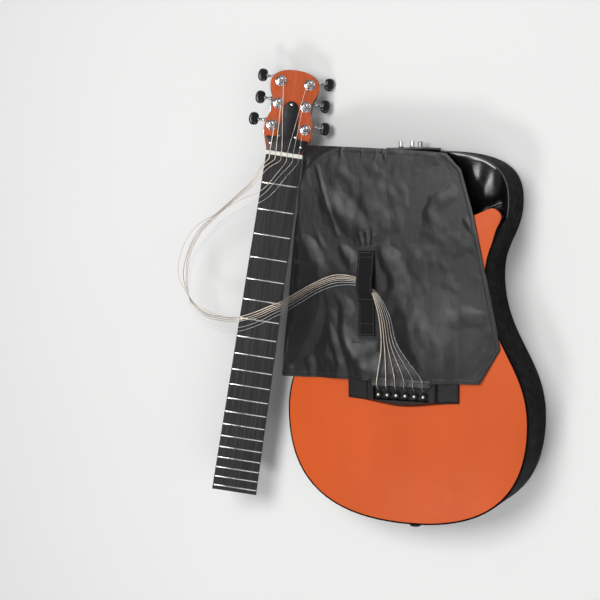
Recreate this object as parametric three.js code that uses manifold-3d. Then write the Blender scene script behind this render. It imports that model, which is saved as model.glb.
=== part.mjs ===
// Travel guitar with a detachable neck: body and neck lie side by side on their backs.
// Millimetres, +X to the treble side, +Y to the neck end of the body, +Z up out of the soundboard.
import * as THREE from 'three';
import { mergeVertices } from 'three/addons/utils/BufferGeometryUtils.js';
import Module from 'manifold-3d';

const wasm = await Module();
wasm.setup();

// Shared clearances
const gap = 0.3;
const overrun = 2;
const weld = 0.0005;

// Body, seen from the front: half widths and the stations along the centre line, counted from the pins
const bodyDepth = 75;
const lowerBoutHalf = 153.5;
const lowerBoutY = -28;
const waistHalf = 102.5;
const waistY = 142;
const upperBoutHalf = 125;
const upperBoutY = 230;
const tailY = -157;
const neckEndY = 290;
const tailRoundShares = [0.67, 0.67];
const waistCurveShares = [0.42, 0.45];
const upperCurveShares = [0.45, 0.45];
const shoulderShares = [0.75, 0.75];
const boutSteps = 6;
const edgeRadius = 4;
const frontEdgeRadius = 0.8;
const bindingWidth = 1.8;
const sideWall = 3;
const liningWidth = 6;
const liningHeight = 12;
const topThickness = 3;
const backThickness = 3;

// Soundhole and scooped cutaway
const soundholeRadius = 42;
const soundholeY = 155;
const scoopRimDrop = 12;
const scoopDip = 19;
const scoopWall = 2.6;
const scoopFillet = 7;
const scoopEaseShare = 0.35;
const scoopBowShare = 0.3;
const scoopFloorShares = [0, 0.25, 0.5, 0.75, 1];
const hornLedge = 4.5;
const hornStartY = 198;
const hornSideX = 119.5;
const hornSideY = 213;
const hornTipX = 109;
const hornTipY = 221.5;
const hornInnerX = 87;
const hornInnerY = 213.5;
const cutawayLowX = 62;
const cutawayLowY = 209;
const cutawayTurnX = 39;
const cutawayTurnY = 234;
const throatX = 31;
const scoopSteps = 14;

// Blocks and bracing inside the body
const neckBlockWidth = 60;
const neckBlockLength = 44;
const tailBlockWidth = 60;
const tailBlockLength = 20;
const braceWidth = 7;
const braceHeight = 13;
const xBraceCrossY = 84;
const xBraceUpperX = 82;
const xBraceUpperY = 176;
const xBraceLowerX = 104;
const xBraceLowerY = -34;
const toneBarStartX = -88;
const toneBarStartY = -16;
const toneBarEndX = 50;
const toneBarEndY = -112;
const barTaperShare = 1.6;
const barTipShare = 0.75;
const backBraceYs = { lower: -62, middle: 62, upper: 186 };
const backBraceMargin = 12;
const backStripWidth = 18;
const backStripHeight = 3;
const bridgePlateHalf = 45;
const bridgePlateDepth = 30;
const bridgePlateThickness = 2.5;

// Bridge, saddle and pins
const bridgeHalf = 70;
const bridgeUpperY = 20;
const bridgeEndY = -7;
const bridgeBellyY = -14;
const wingHeight = 4.5;
const blockHeight = 9.5;
const blockHalf = 42;
const blockSlope = 4;
const bridgeBevel = 0.9;
const bellyLip = 2;
const bellySlope = 4;
const bridgeStationShares = [0, 0.25, 0.5, 0.6, 0.614, 0.628, 0.642, 0.657, 0.8, 1];
const pocketHalf = 35.5;
const pocketLowY = -6.5;
const pocketHighY = 9;
const pocketFloor = 4.5;
const pocketDraft = 1.5;
const pinSpread = 57;
const pinHeadRadius = 3.9;
const pinRadius = 2.5;
const pinTipRadius = 2.1;
const pinLength = 24;
const pinHeadShares = [[0.8, 0], [1, 0.55], [0.75, 1.2], [0, 1.5]];
const saddleLength = 74;
const saddleThickness = 3;
const saddleY = 12.5;
const saddleRise = 3;
const saddleSeat = 4.5;

// Neck joint: plate, guide pins and the draw bolt with its thumbwheel
const jointPlateWidth = 46;
const jointPlateThickness = 3;
const jointPlateLow = 8;
const jointPlateMargin = 5;
const jointPlateHigh = bodyDepth - jointPlateMargin;
const guidePinRadius = 3;
const guidePinSpread = 14.4;
const guidePinLength = 8;
const guidePinDrop = 13;
const lockHeight = 17;
const lockRadius = 3;
const lockThread = 8;
const wheelRadius = 15.4;
const wheelWidth = 8;
const wheelSetback = 24;
const wheelNotches = 14;
const notchDepthShare = 0.93;
const wheelClearance = 1;

// Strap button
const buttonFlange = 7;
const buttonWaist = 3.6;
const buttonLength = 11;
const buttonBase = 5.5;
const buttonShank = 2;
const buttonShankLength = 14;
const flangeThickness = 2.5;
const flangeFlareShare = 1.6;
const flangeCrownShare = 0.85;

// String cover, seen from the front: its edges as corners, the left one with heights
const coverLeftLine = [
  [-173.6, 12.8, 52],
  [-152.7, 194, 53],
  [-137.4, 295, 54],
];
const coverRightLine = [
  [95.6, 18.3],
  [119.6, 59],
  [87, 214],
  [72.3, 264.5],
  [54, 282],
];
const coverBottomY = 16.8;
const coverThickness = 1;
const coverColumns = 20;
const coverRows = 16;
const coverHemShare = 0.022;
const coverEdgeEase = 10.5;
const coverSlack = 11;
const foldHeight = 3.2;
const foldWidth = 9;
const foldEnds = 0.12;

// Strap that holds the strings: a flap over a shorter tab
const strapLeftX = -56.5;
const strapRightX = -35.5;
const strapTopY = 171;
const strapBottomY = 69;
const strapOverlapY = 111;
const strapTabTopY = 127;
const strapThickness = 1.4;
const strapHump = 9.8;
const strapHumpY = 129;
const strapHumpUpper = 28;
const strapHumpLower = 18;
const strapHumpShare = 2.4;

// Neck: the nut line is its own origin
const scaleLength = 625;
const fretCount = 20;
const jointFret = 14;
const nutWidth = 45;
const fretboardEndWidth = 57;
const fretboardThickness = 6;
const fretboardTail = 6;
const fretWidth = 2.4;
const fretRise = 1.1;
const fretInset = 0.6;
const nutDepth = 5;
const nutRise = 1.6;
const nutSlotDepth = 1.2;
const stringSpreadAtNut = 36;
const shaftDepthAtNut = 14.5;
const shaftDepthAtHeel = 17;
const heelDepth = 66;
const heelRun = 60;
const heelCapWidth = 32;
const heelCurveShare = 0.92;
const heelKeelShare = 0.2;
const heelRoundShare = 0.8;
const heelStationShares = [0.98, 0.8, 0.6, 0.42, 0.27, 0.15, 0.06, 0];
const shaftStationShares = [0.25, 0.55];
const neckTurns = 8;
const heelPlateThickness = 3;
const heelPlateWidth = 40;
const trussRodRadius = 2.4;
const rodClearance = 0.4;
const rodDepth = 9;
const socketRadius = 3.4;

// Headstock
const headPitch = 12;
const headDrop = 2.8;
const headLength = 103;
const headStart = 0.8;
const headShoulderHalf = 30;
const headShoulderY = 28;
const headWaistHalf = 24;
const headWaistY = 58;
const headCrownHalf = 30.5;
const headCrownY = 84;
const headCornerShare = 0.62;
const headFlareShares = [0.3, 0.5];
const faceThickness = 2;
const coreThickness = 12.5;
const coverPlateThickness = 1.8;
const coverPlateInset = 1.2;
const coverPlateBase = 17;
const coverPlateArchHalf = 12.6;
const coverPlateShoulderHalf = 9.4;
const coverPlateShoulderY = 51;
const coverPlateTopY = 63.5;
const coverPlateCurveShares = [0.9, 0.7, 0.5];
const screwRadius = 1.7;
const screwRise = 0.7;
const screwOuterX = 19;
const screwOuterY = 8.4;
const screwInnerX = 10.5;
const screwInnerY = 19.5;
const screwTopY = 59.5;

// Tuners: three rows a side, one value a row
const postRowsY = [87, 59, 31];
const postRowsX = [18, 17, 21];
const postRadius = 3;
const postHeight = 13.5;
const postWaistRadius = 2.5;
const postWaistHeight = 3.2;
const sleeveRadius = 4.6;
const washerRadius = 7;
const washerThickness = 1;
const nutHexRadius = 5.4;
const nutHexHeight = 2.4;
const nutHexShares = [0.7, 0.8];
const wheelTeeth = 14;
const gearRadius = 5.5;
const toothHeight = 0.95;
const toothTipShare = 0.6;
const threadRiseShare = 0.55;
const gearThickness = 4.2;
const gearScrewRadius = 2.4;
const gearScrewHeight = 1.2;
const wormRadius = 2.6;
const wormLength = 8;
const wormSides = 8;
const wormStepsPerTurn = 3;
const threadShare = 0.28;
const toothPlayShare = 0.04;
const crestShare = 0.7;
const keyShaftRadius = 1.9;
const wormCoreRadius = 1.5;
const keyCollarRadius = 2.7;
const keyReach = 24.2;
const keyButtonHalf = 6.2;
const keyButtonLength = 16;
const keyButtonThickness = 6.6;
const keyCurveShares = { shoulder: 0.35, lean: 0.2, tip: 0.1, belly: 0.4 };
const plateThickness = 1.4;
const plateLugThickness = 2.2;
const plateLugReach = 7.4;
const plateEdge = 3;
const plateScrewShare = 1.4;
const tunerRunning = 0.35;
const gearClearance = 1.5;

// How the loose neck lies beside the body
const neckNutX = -162.7;
const neckNutY = 284.8;
const neckYawAngle = 10.2;
const neckRollAngle = 25;
const neckPitchAngleLimit = 12;
const seatRounds = 24;

// Strings, bass to treble: gauges, and the post that each one goes to
const stringGauges = [1.35, 1.07, 0.81, 0.61, 0.43, 0.36];
const stringPlaceShares = [-1, -0.6, -0.2, 0.2, 0.6, 1];
const stringPosts = [
  { side: -1, row: 2 },
  { side: -1, row: 1 },
  { side: -1, row: 0 },
  { side: 1, row: 0 },
  { side: 1, row: 1 },
  { side: 1, row: 2 },
];
const stringSides = 8;
const stringStep = 36;
// The bundle from nut to bridge: its middle line, its turn about that line in degrees, each string's
// place across it, and how much higher the fourth string passes
const stringRoute = [
  [-172.9, 267.3, 68.4, -22, [-16, -12.5, -8, 4.5, 9, 16], 0],
  [-188, 245.9, 75.2, -18, [-15, -13, -10, 2, 7, 14], 0],
  [-215.3, 227.4, 74.6, -8, [-12, -10.5, -8.6, -5, 5.2, 9], 1],
  [-248.3, 209.7, 69, 0, [-8, -6.5, -5, -6.6, 4, 7.5], 3],
  [-279.3, 185.9, 64, 0, [-8.5, -6, -4.2, -14.5, 5.5, 8.5], 1.5],
  [-302.2, 159.8, 60, 0, [-3, -0.6, 1.6, -12.4, 5.5, 9], 0],
  [-310, 135.1, 58, 8, [-2, 2.6, 4.8, -10.5, 7.3, 10.4], 0],
  [-306.7, 114.4, 57, 45, [-3.5, -0.5, 2.2, -8.5, 5, 8], 0],
  [-299.7, 98.5, 57, 92, [-3, -1, 1, -5, 2.8, 4.5], 0],
  [-282.3, 83.6, 59, 140, [-4.5, -2.5, 0, -8, 4, 8], 0],
  [-255.8, 75.9, 66, 175, [-8, -5.5, -3, -9.8, 4, 9], 1],
  [-222.8, 76.4, 76.5, 180, [-8.5, -5.5, -3.2, -5.8, 4.5, 9], 3.2],
  [-199.6, 83.9, 67, 180, [-8, -5, -2.6, 0, 4.5, 8.5], 1.5],
  [-183.3, 92, 60.5, 180, [-7, -4.5, -2.3, 0.2, 3.6, 7.5], 0],
  [-170.5, 97.6, 57.5, 180, [-6.5, -4, -2, 0.2, 3.2, 7], 0],
  [-139.5, 111.6, 72.5, 180, [-6.5, -4, -2, 0.2, 3, 6.5], 0],
  [-111, 125.9, 79.6, 180, [-6, -3.8, -1.8, 0.2, 2.8, 6], 0],
  [-86.4, 134.7, 80, 180, [-6.5, -3.8, -1.8, 0.2, 2.8, 6.3], 0],
  [-66.1, 135.2, 80.5, 183, [-5.6, -3.5, -1.7, 0.2, 2.4, 5.2], 0],
  [-56.8, 133.7, 81, 195, [-5, -3.1, -1.5, 0.1, 2, 4.6], 0],
  [-46.2, 130.4, 80.8, 235, [-3.8, -2.2, -0.8, 0.5, 1.8, 3.1], 0],
  [-37.3, 124.6, 80.4, 280, [-3.7, -2.1, -0.7, 0.6, 1.8, 3], 0],
  [-29.4, 111.6, 80.5, 325, [-4.4, -2.6, -0.9, 0.8, 2.4, 4], 0],
  [-22.2, 91.4, 79.5, 352, [-6.8, -4, -1.4, 1.4, 4, 6.6], 0],
  [-16.4, 59.4, 80.5, 360, [-10, -6, -2, 2, 6, 10], 0],
];
const liftedString = 3;
const headSpanShares = [0.5, 0.6];

// Finishes
function finish(color, roughness, metalness) {
  return new THREE.MeshStandardMaterial({ color, roughness, metalness });
}
const finishes = {
  orange: () => finish(0xd66336, 0.35, 0),
  orangeStain: () => finish(0xb4644a, 0.4, 0),
  blackGloss: () => finish(0x101012, 0.15, 0),
  blackSatin: () => finish(0x17171a, 0.5, 0),
  spruce: () => finish(0xd9b98a, 0.7, 0),
  mahogany: () => finish(0x6b3f26, 0.7, 0),
  ebony: () => finish(0x242426, 0.55, 0),
  ivory: () => finish(0xe9e2d0, 0.5, 0),
  chrome: () => finish(0xd6d8dc, 0.15, 1),
  steel: () => finish(0xa9abb0, 0.35, 1),
  bronze: () => finish(0xb98a55, 0.35, 1),
  plainSteel: () => finish(0xb9bbc0, 0.3, 1),
  nylon: () => finish(0x3a393c, 0.75, 0),
  webbing: () => finish(0x1a1a1c, 0.9, 0),
  blackPlastic: () => finish(0x1b1b1d, 0.35, 0),
};

// Solid helpers
function closedMesh(positions, index) {
  const raw = new THREE.BufferGeometry();
  raw.setAttribute('position', new THREE.Float32BufferAttribute(positions, 3));
  raw.setIndex(index);
  return tidySolid(raw);
}

function tidySolid(source) {
  const bare = source.clone();
  for (const name of Object.keys(bare.attributes)) {
    if (name !== 'position') bare.deleteAttribute(name);
  }
  const merged = mergeVertices(bare, weld);
  const p = merged.attributes.position.array;
  const kept = [];
  let volume = 0;
  for (let i = 0; i < merged.index.count; i += 3) {
    const [a, b, c] = [0, 1, 2].map((k) => merged.index.getX(i + k));
    if (a === b || b === c || c === a) continue;
    kept.push(a, b, c);
    const [va, vb, vc] = [a, b, c].map((v) => new THREE.Vector3().fromArray(p, v * 3));
    volume += va.dot(vb.cross(vc));
  }
  if (volume < 0) {
    for (let i = 0; i < kept.length; i += 3) {
      [kept[i], kept[i + 1]] = [kept[i + 1], kept[i]];
    }
  }
  merged.setIndex(kept);
  return merged;
}

function toManifold(geometry) {
  const solid = tidySolid(geometry);
  return new wasm.Manifold(
    new wasm.Mesh({
      numProp: 3,
      vertProperties: new Float32Array(solid.attributes.position.array),
      triVerts: new Uint32Array(solid.index.array),
    }),
  );
}

function fromManifold(body) {
  const mesh = body.getMesh();
  const geometry = new THREE.BufferGeometry();
  const count = mesh.vertProperties.length / mesh.numProp;
  const positions = new Float32Array(count * 3);
  for (let i = 0; i < count; i += 1) {
    for (let k = 0; k < 3; k += 1) positions[i * 3 + k] = mesh.vertProperties[i * mesh.numProp + k];
  }
  geometry.setAttribute('position', new THREE.BufferAttribute(positions, 3));
  geometry.setIndex(Array.from(mesh.triVerts));
  return geometry;
}

function join(...geometries) {
  return fromManifold(geometries.map(toManifold).reduce((a, b) => a.add(b)));
}

function cut(base, ...tools) {
  return fromManifold(tools.map(toManifold).reduce((a, b) => a.subtract(b), toManifold(base)));
}

function common(a, b) {
  return fromManifold(toManifold(a).intersect(toManifold(b)));
}

// A prism of a closed outline between two heights
function prism(outline, low, high) {
  const options = { depth: high - low, bevelEnabled: false, curveSegments: 1 };
  return new THREE.ExtrudeGeometry(new THREE.Shape(outline), options).translate(0, 0, low);
}

function block(xLow, xHigh, yLow, yHigh, zLow, zHigh) {
  return new THREE.BoxGeometry(xHigh - xLow, yHigh - yLow, zHigh - zLow).translate(
    (xLow + xHigh) / 2,
    (yLow + yHigh) / 2,
    (zLow + zHigh) / 2,
  );
}

// A turned solid about +Z from a profile of [radius, height] that starts and ends on the axis
function turned(profile, sides) {
  return new THREE.LatheGeometry(profile.map(([r, h]) => new THREE.Vector2(r, h)), sides).rotateX(Math.PI / 2);
}

function rod(radius, low, high, sides) {
  return turned([[0, low], [radius, low], [radius, high], [0, high]], sides);
}

// Rings of equal length joined into one closed solid; the end rings are capped by their flat outlines
function loft(rings, flats) {
  const positions = rings.flat().flatMap((p) => [p.x, p.y, p.z]);
  const n = rings[0].length;
  const index = [];
  for (let r = 0; r + 1 < rings.length; r += 1) {
    for (let i = 0; i < n; i += 1) {
      const a = r * n + i;
      const b = r * n + ((i + 1) % n);
      index.push(a, b, b + n, a, b + n, a + n);
    }
  }
  const caps = [flats[0], flats[flats.length - 1]];
  caps.forEach((flat, end) => {
    const start = end * (rings.length - 1) * n;
    const clockwise = THREE.ShapeUtils.isClockWise(flat);
    for (const [a, b, c] of THREE.ShapeUtils.triangulateShape(flat, [])) {
      const flip = (end === 0) !== clockwise;
      if (flip) index.push(start + a, start + c, start + b);
      else index.push(start + a, start + b, start + c);
    }
  });
  return closedMesh(positions, index);
}

// A sheet between an upper and a lower grid of points of the same size
function sheet(upper, lower) {
  const rows = upper.length;
  const columns = upper[0].length;
  const positions = [...upper.flat(), ...lower.flat()].flatMap((p) => [p.x, p.y, p.z]);
  const offset = rows * columns;
  const at = (r, c) => r * columns + c;
  const index = [];
  for (let r = 0; r + 1 < rows; r += 1) {
    for (let c = 0; c + 1 < columns; c += 1) {
      const quad = [at(r, c), at(r, c + 1), at(r + 1, c + 1), at(r + 1, c)];
      index.push(quad[0], quad[1], quad[2], quad[0], quad[2], quad[3]);
      index.push(...[0, 2, 1, 0, 3, 2].map((k) => quad[k] + offset));
    }
  }
  const border = [];
  for (let c = 0; c + 1 < columns; c += 1) border.push(at(0, c));
  for (let r = 0; r + 1 < rows; r += 1) border.push(at(r, columns - 1));
  for (let c = columns - 1; c > 0; c -= 1) border.push(at(rows - 1, c));
  for (let r = rows - 1; r > 0; r -= 1) border.push(at(r, 0));
  border.forEach((a, i) => {
    const b = border[(i + 1) % border.length];
    index.push(a, a + offset, b + offset, a, b + offset, b);
  });
  return closedMesh(positions, index);
}

function smooth(t) {
  const s = THREE.MathUtils.clamp(t, 0, 1);
  return s * s * (3 - 2 * s);
}

const assembly = new THREE.Group();
const body = new THREE.Group();
const neck = new THREE.Group();
const headstock = new THREE.Group();
assembly.add(body, neck);
neck.add(headstock);

function place(group, name, geometry, material) {
  const mesh = new THREE.Mesh(geometry, material);
  mesh.name = name;
  group.add(mesh);
  return mesh;
}

// Body outline
function halfOutline() {
  const curve = new THREE.Path();
  curve.moveTo(0, tailY);
  const spans = [
    [0, tailY, lowerBoutHalf, lowerBoutY, tailRoundShares, 'round'],
    [lowerBoutHalf, lowerBoutY, waistHalf, waistY, waistCurveShares, 'side'],
    [waistHalf, waistY, upperBoutHalf, upperBoutY, upperCurveShares, 'side'],
    [upperBoutHalf, upperBoutY, 0, neckEndY, shoulderShares, 'shoulder'],
  ];
  for (const [x0, y0, x1, y1, [first, second], kind] of spans) {
    const near = kind === 'round' ? [x0 + (x1 - x0) * first, y0] : [x0, y0 + (y1 - y0) * first];
    const far = kind === 'shoulder' ? [x0 * second, y1] : [x1, y1 - (y1 - y0) * second];
    curve.bezierCurveTo(...near, ...far, x1, y1);
  }
  return curve.getPoints(boutSteps);
}

const rightSide = halfOutline();
const fullOutline = [
  ...rightSide,
  ...rightSide.slice(1, -1).reverse().map((p) => new THREE.Vector2(-p.x, p.y)),
];

// The closed outline moved inwards by a distance
function insetLoop(loop, inset) {
  return loop.map((p, i) => {
    const before = loop[(i + loop.length - 1) % loop.length];
    const after = loop[(i + 1) % loop.length];
    const along = new THREE.Vector2().subVectors(after, before).normalize();
    return new THREE.Vector2(p.x - along.y * inset, p.y + along.x * inset);
  });
}

const outlineAt = (inset) => insetLoop(fullOutline, inset);

// Half width of the body at a station along the centre line
function halfWidthAt(y) {
  for (let i = 0; i + 1 < rightSide.length; i += 1) {
    const [a, b] = [rightSide[i], rightSide[i + 1]];
    if (y >= a.y && y <= b.y) return a.x + ((b.x - a.x) * (y - a.y)) / (b.y - a.y);
  }
  return 0;
}

// Scooped cutaway: the wall line under the soundboard's cut edge, and the rim line outside it
const wallLine = new THREE.SplineCurve([
  new THREE.Vector2(halfWidthAt(hornStartY) - hornLedge, hornStartY),
  new THREE.Vector2(hornSideX, hornSideY),
  new THREE.Vector2(hornTipX, hornTipY),
  new THREE.Vector2(hornInnerX, hornInnerY),
  new THREE.Vector2(cutawayLowX, cutawayLowY),
  new THREE.Vector2(cutawayTurnX, cutawayTurnY),
  new THREE.Vector2(throatX, neckEndY - sideWall),
]).getPoints(scoopSteps);

const rimLine = (() => {
  const shoulder = rightSide.filter((p) => p.y > hornStartY && p.x > throatX);
  const start = new THREE.Vector2(halfWidthAt(hornStartY), hornStartY);
  const last = shoulder.at(-1);
  const next = rightSide[rightSide.indexOf(last) + 1];
  const end = last.clone().lerp(next, (last.x - throatX) / (last.x - next.x));
  const points = [start, ...shoulder, end];
  const path = new THREE.CurvePath();
  for (let i = 0; i + 1 < points.length; i += 1) path.add(new THREE.LineCurve(points[i], points[i + 1]));
  return path.getSpacedPoints(scoopSteps);
})();

const topZ = bodyDepth;
const scoopRimZ = topZ - scoopRimDrop;
const soundboardLow = topZ - topThickness;

// One cross-section of the scoop as [distance from the rim, height]; skin 0 is the face, 1 the hidden side
function scoopSection(share, span, skin) {
  const ease = smooth(share / scoopEaseShare);
  const back = skin * scoopWall;
  const fillet = Math.min(scoopFillet, span * scoopBowShare);
  const dip = scoopDip * ease * Math.min(1, span / (scoopFillet * 4));
  const floor = (s) => scoopRimZ - dip * Math.sin((Math.PI / 2) * Math.min(1, s / (span - fillet)));
  const low = scoopRimZ - dip;
  const points = scoopFloorShares.map((t) => {
    const s = t * (span - fillet);
    return [s, floor(s) - back];
  });
  const turn = Math.PI / 4;
  points.push([span - fillet + (fillet + back) * Math.sin(turn), low + fillet - (fillet + back) * Math.cos(turn)]);
  points.push([span + back, low + fillet]);
  points.push([span + back, soundboardLow - gap]);
  return points;
}

function scoopPoint(i, [s, z]) {
  const rim = rimLine[i];
  const wall = wallLine[i];
  const across = new THREE.Vector2().subVectors(wall, rim).normalize();
  return new THREE.Vector3(rim.x + across.x * s, rim.y + across.y * s, z);
}

function scoopSpan(i) {
  return rimLine[i].distanceTo(wallLine[i]);
}

function scoopPanel() {
  const flats = rimLine.map((_, i) => {
    const share = i / scoopSteps;
    const face = scoopSection(share, scoopSpan(i), 0);
    const hidden = scoopSection(share, scoopSpan(i), 1).reverse();
    return [...face, ...hidden];
  });
  const rings = flats.map((flat, i) => flat.map((p) => scoopPoint(i, p)));
  return loft(rings, flats.map((flat) => flat.map(([s, z]) => new THREE.Vector2(s, z))));
}

// Everything above the scoop's hidden side, with its clearance, for cutting the rim and its linings
function scoopRoom() {
  const flats = rimLine.map((_, i) => {
    const under = scoopSection(i / scoopSteps, scoopSpan(i), 1).map(([s, z]) => [s, z - gap * 4]);
    const wallFoot = under.length - 1;
    for (let k = wallFoot - 2; k <= wallFoot; k += 1) under[k][0] += gap * 3;
    const outer = [-overrun * 2, under[0][1]];
    const high = topZ + overrun;
    return [outer, ...under, [under[wallFoot][0], high], [outer[0], high]];
  });
  const rings = flats.map((flat, i) => {
    const next = rimLine[Math.min(i + 1, scoopSteps)];
    const before = rimLine[Math.max(i - 1, 0)];
    const away = new THREE.Vector2().subVectors(next, before).setLength(gap);
    const shift = i === 0 ? away.negate() : away.multiplyScalar(i === scoopSteps ? 1 : 0);
    return flat.map((p) => scoopPoint(i, p).add(new THREE.Vector3(shift.x, shift.y, 0)));
  });
  return loft(rings, flats.map((flat) => flat.map(([s, z]) => new THREE.Vector2(s, z))));
}

// Plan area of the cutaway, out past the body's edge
function cutawayPlan(clearance) {
  const outside = insetLoop(fullOutline, -overrun * 4).slice(0, rightSide.length);
  const beyond = outside.filter((p) => p.y > hornStartY && p.x > throatX);
  const wall = wallLine.map((p, i) => {
    const across = new THREE.Vector2().subVectors(p, rimLine[i]).normalize();
    return new THREE.Vector2(p.x + across.x * clearance, p.y + across.y * clearance);
  });
  const start = new THREE.Vector2(wall[0].x + hornLedge * 4, wall[0].y);
  const end = new THREE.Vector2(wall.at(-1).x, neckEndY + overrun * 4);
  return [start, ...beyond, end, ...wall.reverse()];
}

// Rim: sides with rounded edges, linings inside and a rebate at both plates
function rim() {
  const levels = [
    [0, edgeRadius * (1 - Math.SQRT1_2) * 2],
    [edgeRadius * (1 - Math.SQRT1_2), edgeRadius * (1 - Math.SQRT1_2)],
    [edgeRadius, 0],
    [topZ - frontEdgeRadius, 0],
    [topZ, frontEdgeRadius],
  ];
  const rings = levels.map(([z, inset]) => outlineAt(inset).map((p) => new THREE.Vector3(p.x, p.y, z)));
  const shell = loft(rings, [outlineAt(levels[0][1]), outlineAt(frontEdgeRadius)]);
  const backSeat = backThickness + gap;
  const topSeat = soundboardLow - gap;
  const backInset = edgeRadius + bindingWidth;
  const rooms = [
    prism(outlineAt(backInset), -overrun, backSeat),
    prism(outlineAt(sideWall + liningWidth), backThickness, backSeat + liningHeight),
    prism(outlineAt(sideWall), backSeat + liningHeight, topSeat - liningHeight),
    prism(outlineAt(sideWall + liningWidth), topSeat - liningHeight, topSeat),
    prism(outlineAt(bindingWidth), topSeat, topZ + overrun),
  ];
  const seatHalf = jointPlateWidth / 2 + gap;
  const plateSeat = block(-seatHalf, seatHalf, neckEndY - gap, neckEndY + overrun * 2, -overrun, topZ + overrun);
  const boltHole = rod(lockRadius + gap, 0, sideWall + liningWidth + overrun * 2, 12)
    .rotateX(-Math.PI / 2)
    .translate(0, neckEndY - sideWall - liningWidth - overrun, lockHeight);
  const shankHole = rod(buttonShank + gap, 0, sideWall + liningWidth + overrun * 2, 10)
    .rotateX(-Math.PI / 2)
    .translate(0, tailY - overrun, bodyDepth / 2);
  return cut(shell, ...rooms, scoopRoom(), plateSeat, boltHole, shankHole);
}

const pinXs = stringPlaceShares.map((k) => (k * pinSpread) / 2);

function pinHoles(low, high) {
  return pinXs.map((x) => rod(pinRadius + gap, low, high, 8).translate(x, 0, 0));
}

function soundboard() {
  const plate = prism(outlineAt(bindingWidth + gap), soundboardLow, topZ);
  const hole = rod(soundholeRadius, soundboardLow - overrun, topZ + overrun, 24).translate(0, soundholeY, 0);
  const cutaway = prism(cutawayPlan(0), soundboardLow - overrun, topZ + overrun);
  return cut(plate, hole, cutaway, ...pinHoles(soundboardLow - overrun, topZ + overrun));
}

const wheelY = neckEndY - wheelSetback;

function wheelRoom(low) {
  const half = wheelRadius + wheelClearance;
  const reach = wheelWidth / 2 + wheelClearance;
  return block(-half, half, wheelY - reach, wheelY + reach, low, lockHeight + half);
}

function backPanel() {
  const inset = edgeRadius + bindingWidth + gap;
  return cut(prism(outlineAt(inset), 0, backThickness), wheelRoom(-overrun));
}

function neckBlock() {
  const front = neckEndY - sideWall - liningWidth - gap;
  const blockBase = block(
    -neckBlockWidth / 2,
    neckBlockWidth / 2,
    front - neckBlockLength,
    front,
    backThickness + gap,
    soundboardLow - gap,
  );
  const bore = rod(lockRadius + gap, 0, neckBlockLength + overrun * 2, 12)
    .rotateX(-Math.PI / 2)
    .translate(0, front - neckBlockLength - overrun, lockHeight);
  const insideRim = prism(outlineAt(sideWall + liningWidth + gap), 0, topZ);
  return cut(common(blockBase, insideRim), wheelRoom(-overrun), bore, scoopRoom());
}

function tailBlock() {
  const back = tailY + sideWall + liningWidth + gap;
  const base = block(
    -tailBlockWidth / 2,
    tailBlockWidth / 2,
    back,
    back + tailBlockLength,
    backThickness + gap,
    soundboardLow - gap,
  );
  const insideRim = prism(outlineAt(sideWall + liningWidth + gap), 0, topZ);
  const bore = rod(buttonShank + gap, 0, tailBlockLength + overrun * 2, 10)
    .rotateX(-Math.PI / 2)
    .translate(0, back - overrun, bodyDepth / 2);
  return cut(common(base, insideRim), bore);
}

// A straight bar on the underside of the soundboard, tapered at its ends
function bar(x0, y0, x1, y1, low, high) {
  const length = Math.hypot(x1 - x0, y1 - y0);
  const taper = (high - low) * barTaperShare;
  const tip = low + (high - low) * barTipShare;
  const side = [
    new THREE.Vector2(0, high),
    new THREE.Vector2(0, tip),
    new THREE.Vector2(taper, low),
    new THREE.Vector2(length - taper, low),
    new THREE.Vector2(length, tip),
    new THREE.Vector2(length, high),
  ];
  return prism(side, -braceWidth / 2, braceWidth / 2)
    .rotateX(Math.PI / 2)
    .rotateZ(Math.atan2(y1 - y0, x1 - x0))
    .translate(x0, y0, 0);
}

function topBracing() {
  const high = soundboardLow - gap;
  const low = high - braceHeight;
  const first = bar(-xBraceUpperX, xBraceUpperY, xBraceLowerX, xBraceLowerY, low, high);
  const second = bar(xBraceUpperX, xBraceUpperY, -xBraceLowerX, xBraceLowerY, low, high);
  const tone = bar(toneBarStartX, toneBarStartY, toneBarEndX, toneBarEndY, low + braceHeight / 4, high);
  return join(first, second, tone);
}

function backBracing() {
  const low = backThickness + gap;
  const strip = block(
    -backStripWidth / 2,
    backStripWidth / 2,
    backBraceYs.lower - backStripWidth,
    backBraceYs.upper + backStripWidth,
    low,
    low + backStripHeight,
  );
  const bars = Object.values(backBraceYs).map((y) => {
    const half = halfWidthAt(y) - sideWall - liningWidth - backBraceMargin;
    return bar(half, y, -half, y, -low - braceHeight, -low).rotateY(Math.PI);
  });
  return join(strip, ...bars);
}

function bridgePlate() {
  const high = soundboardLow - gap;
  const plate = block(
    -bridgePlateHalf,
    bridgePlateHalf,
    -bridgePlateDepth / 2,
    bridgePlateDepth / 2,
    high - bridgePlateThickness,
    high,
  );
  return cut(plate, ...pinHoles(high - bridgePlateThickness - overrun, topZ));
}

// Bridge: belly along the tail side, raised middle block with a pocket for the pins, thin wings
const bridgeBase = topZ + gap;

function bridgeHeightAt(x) {
  return THREE.MathUtils.lerp(blockHeight, wingHeight, smooth((Math.abs(x) - blockHalf) / blockSlope));
}

function bridgeLowerEdge(x) {
  const share = Math.abs(x) / bridgeHalf;
  return THREE.MathUtils.lerp(bridgeBellyY, bridgeEndY, smooth(share));
}

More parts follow.
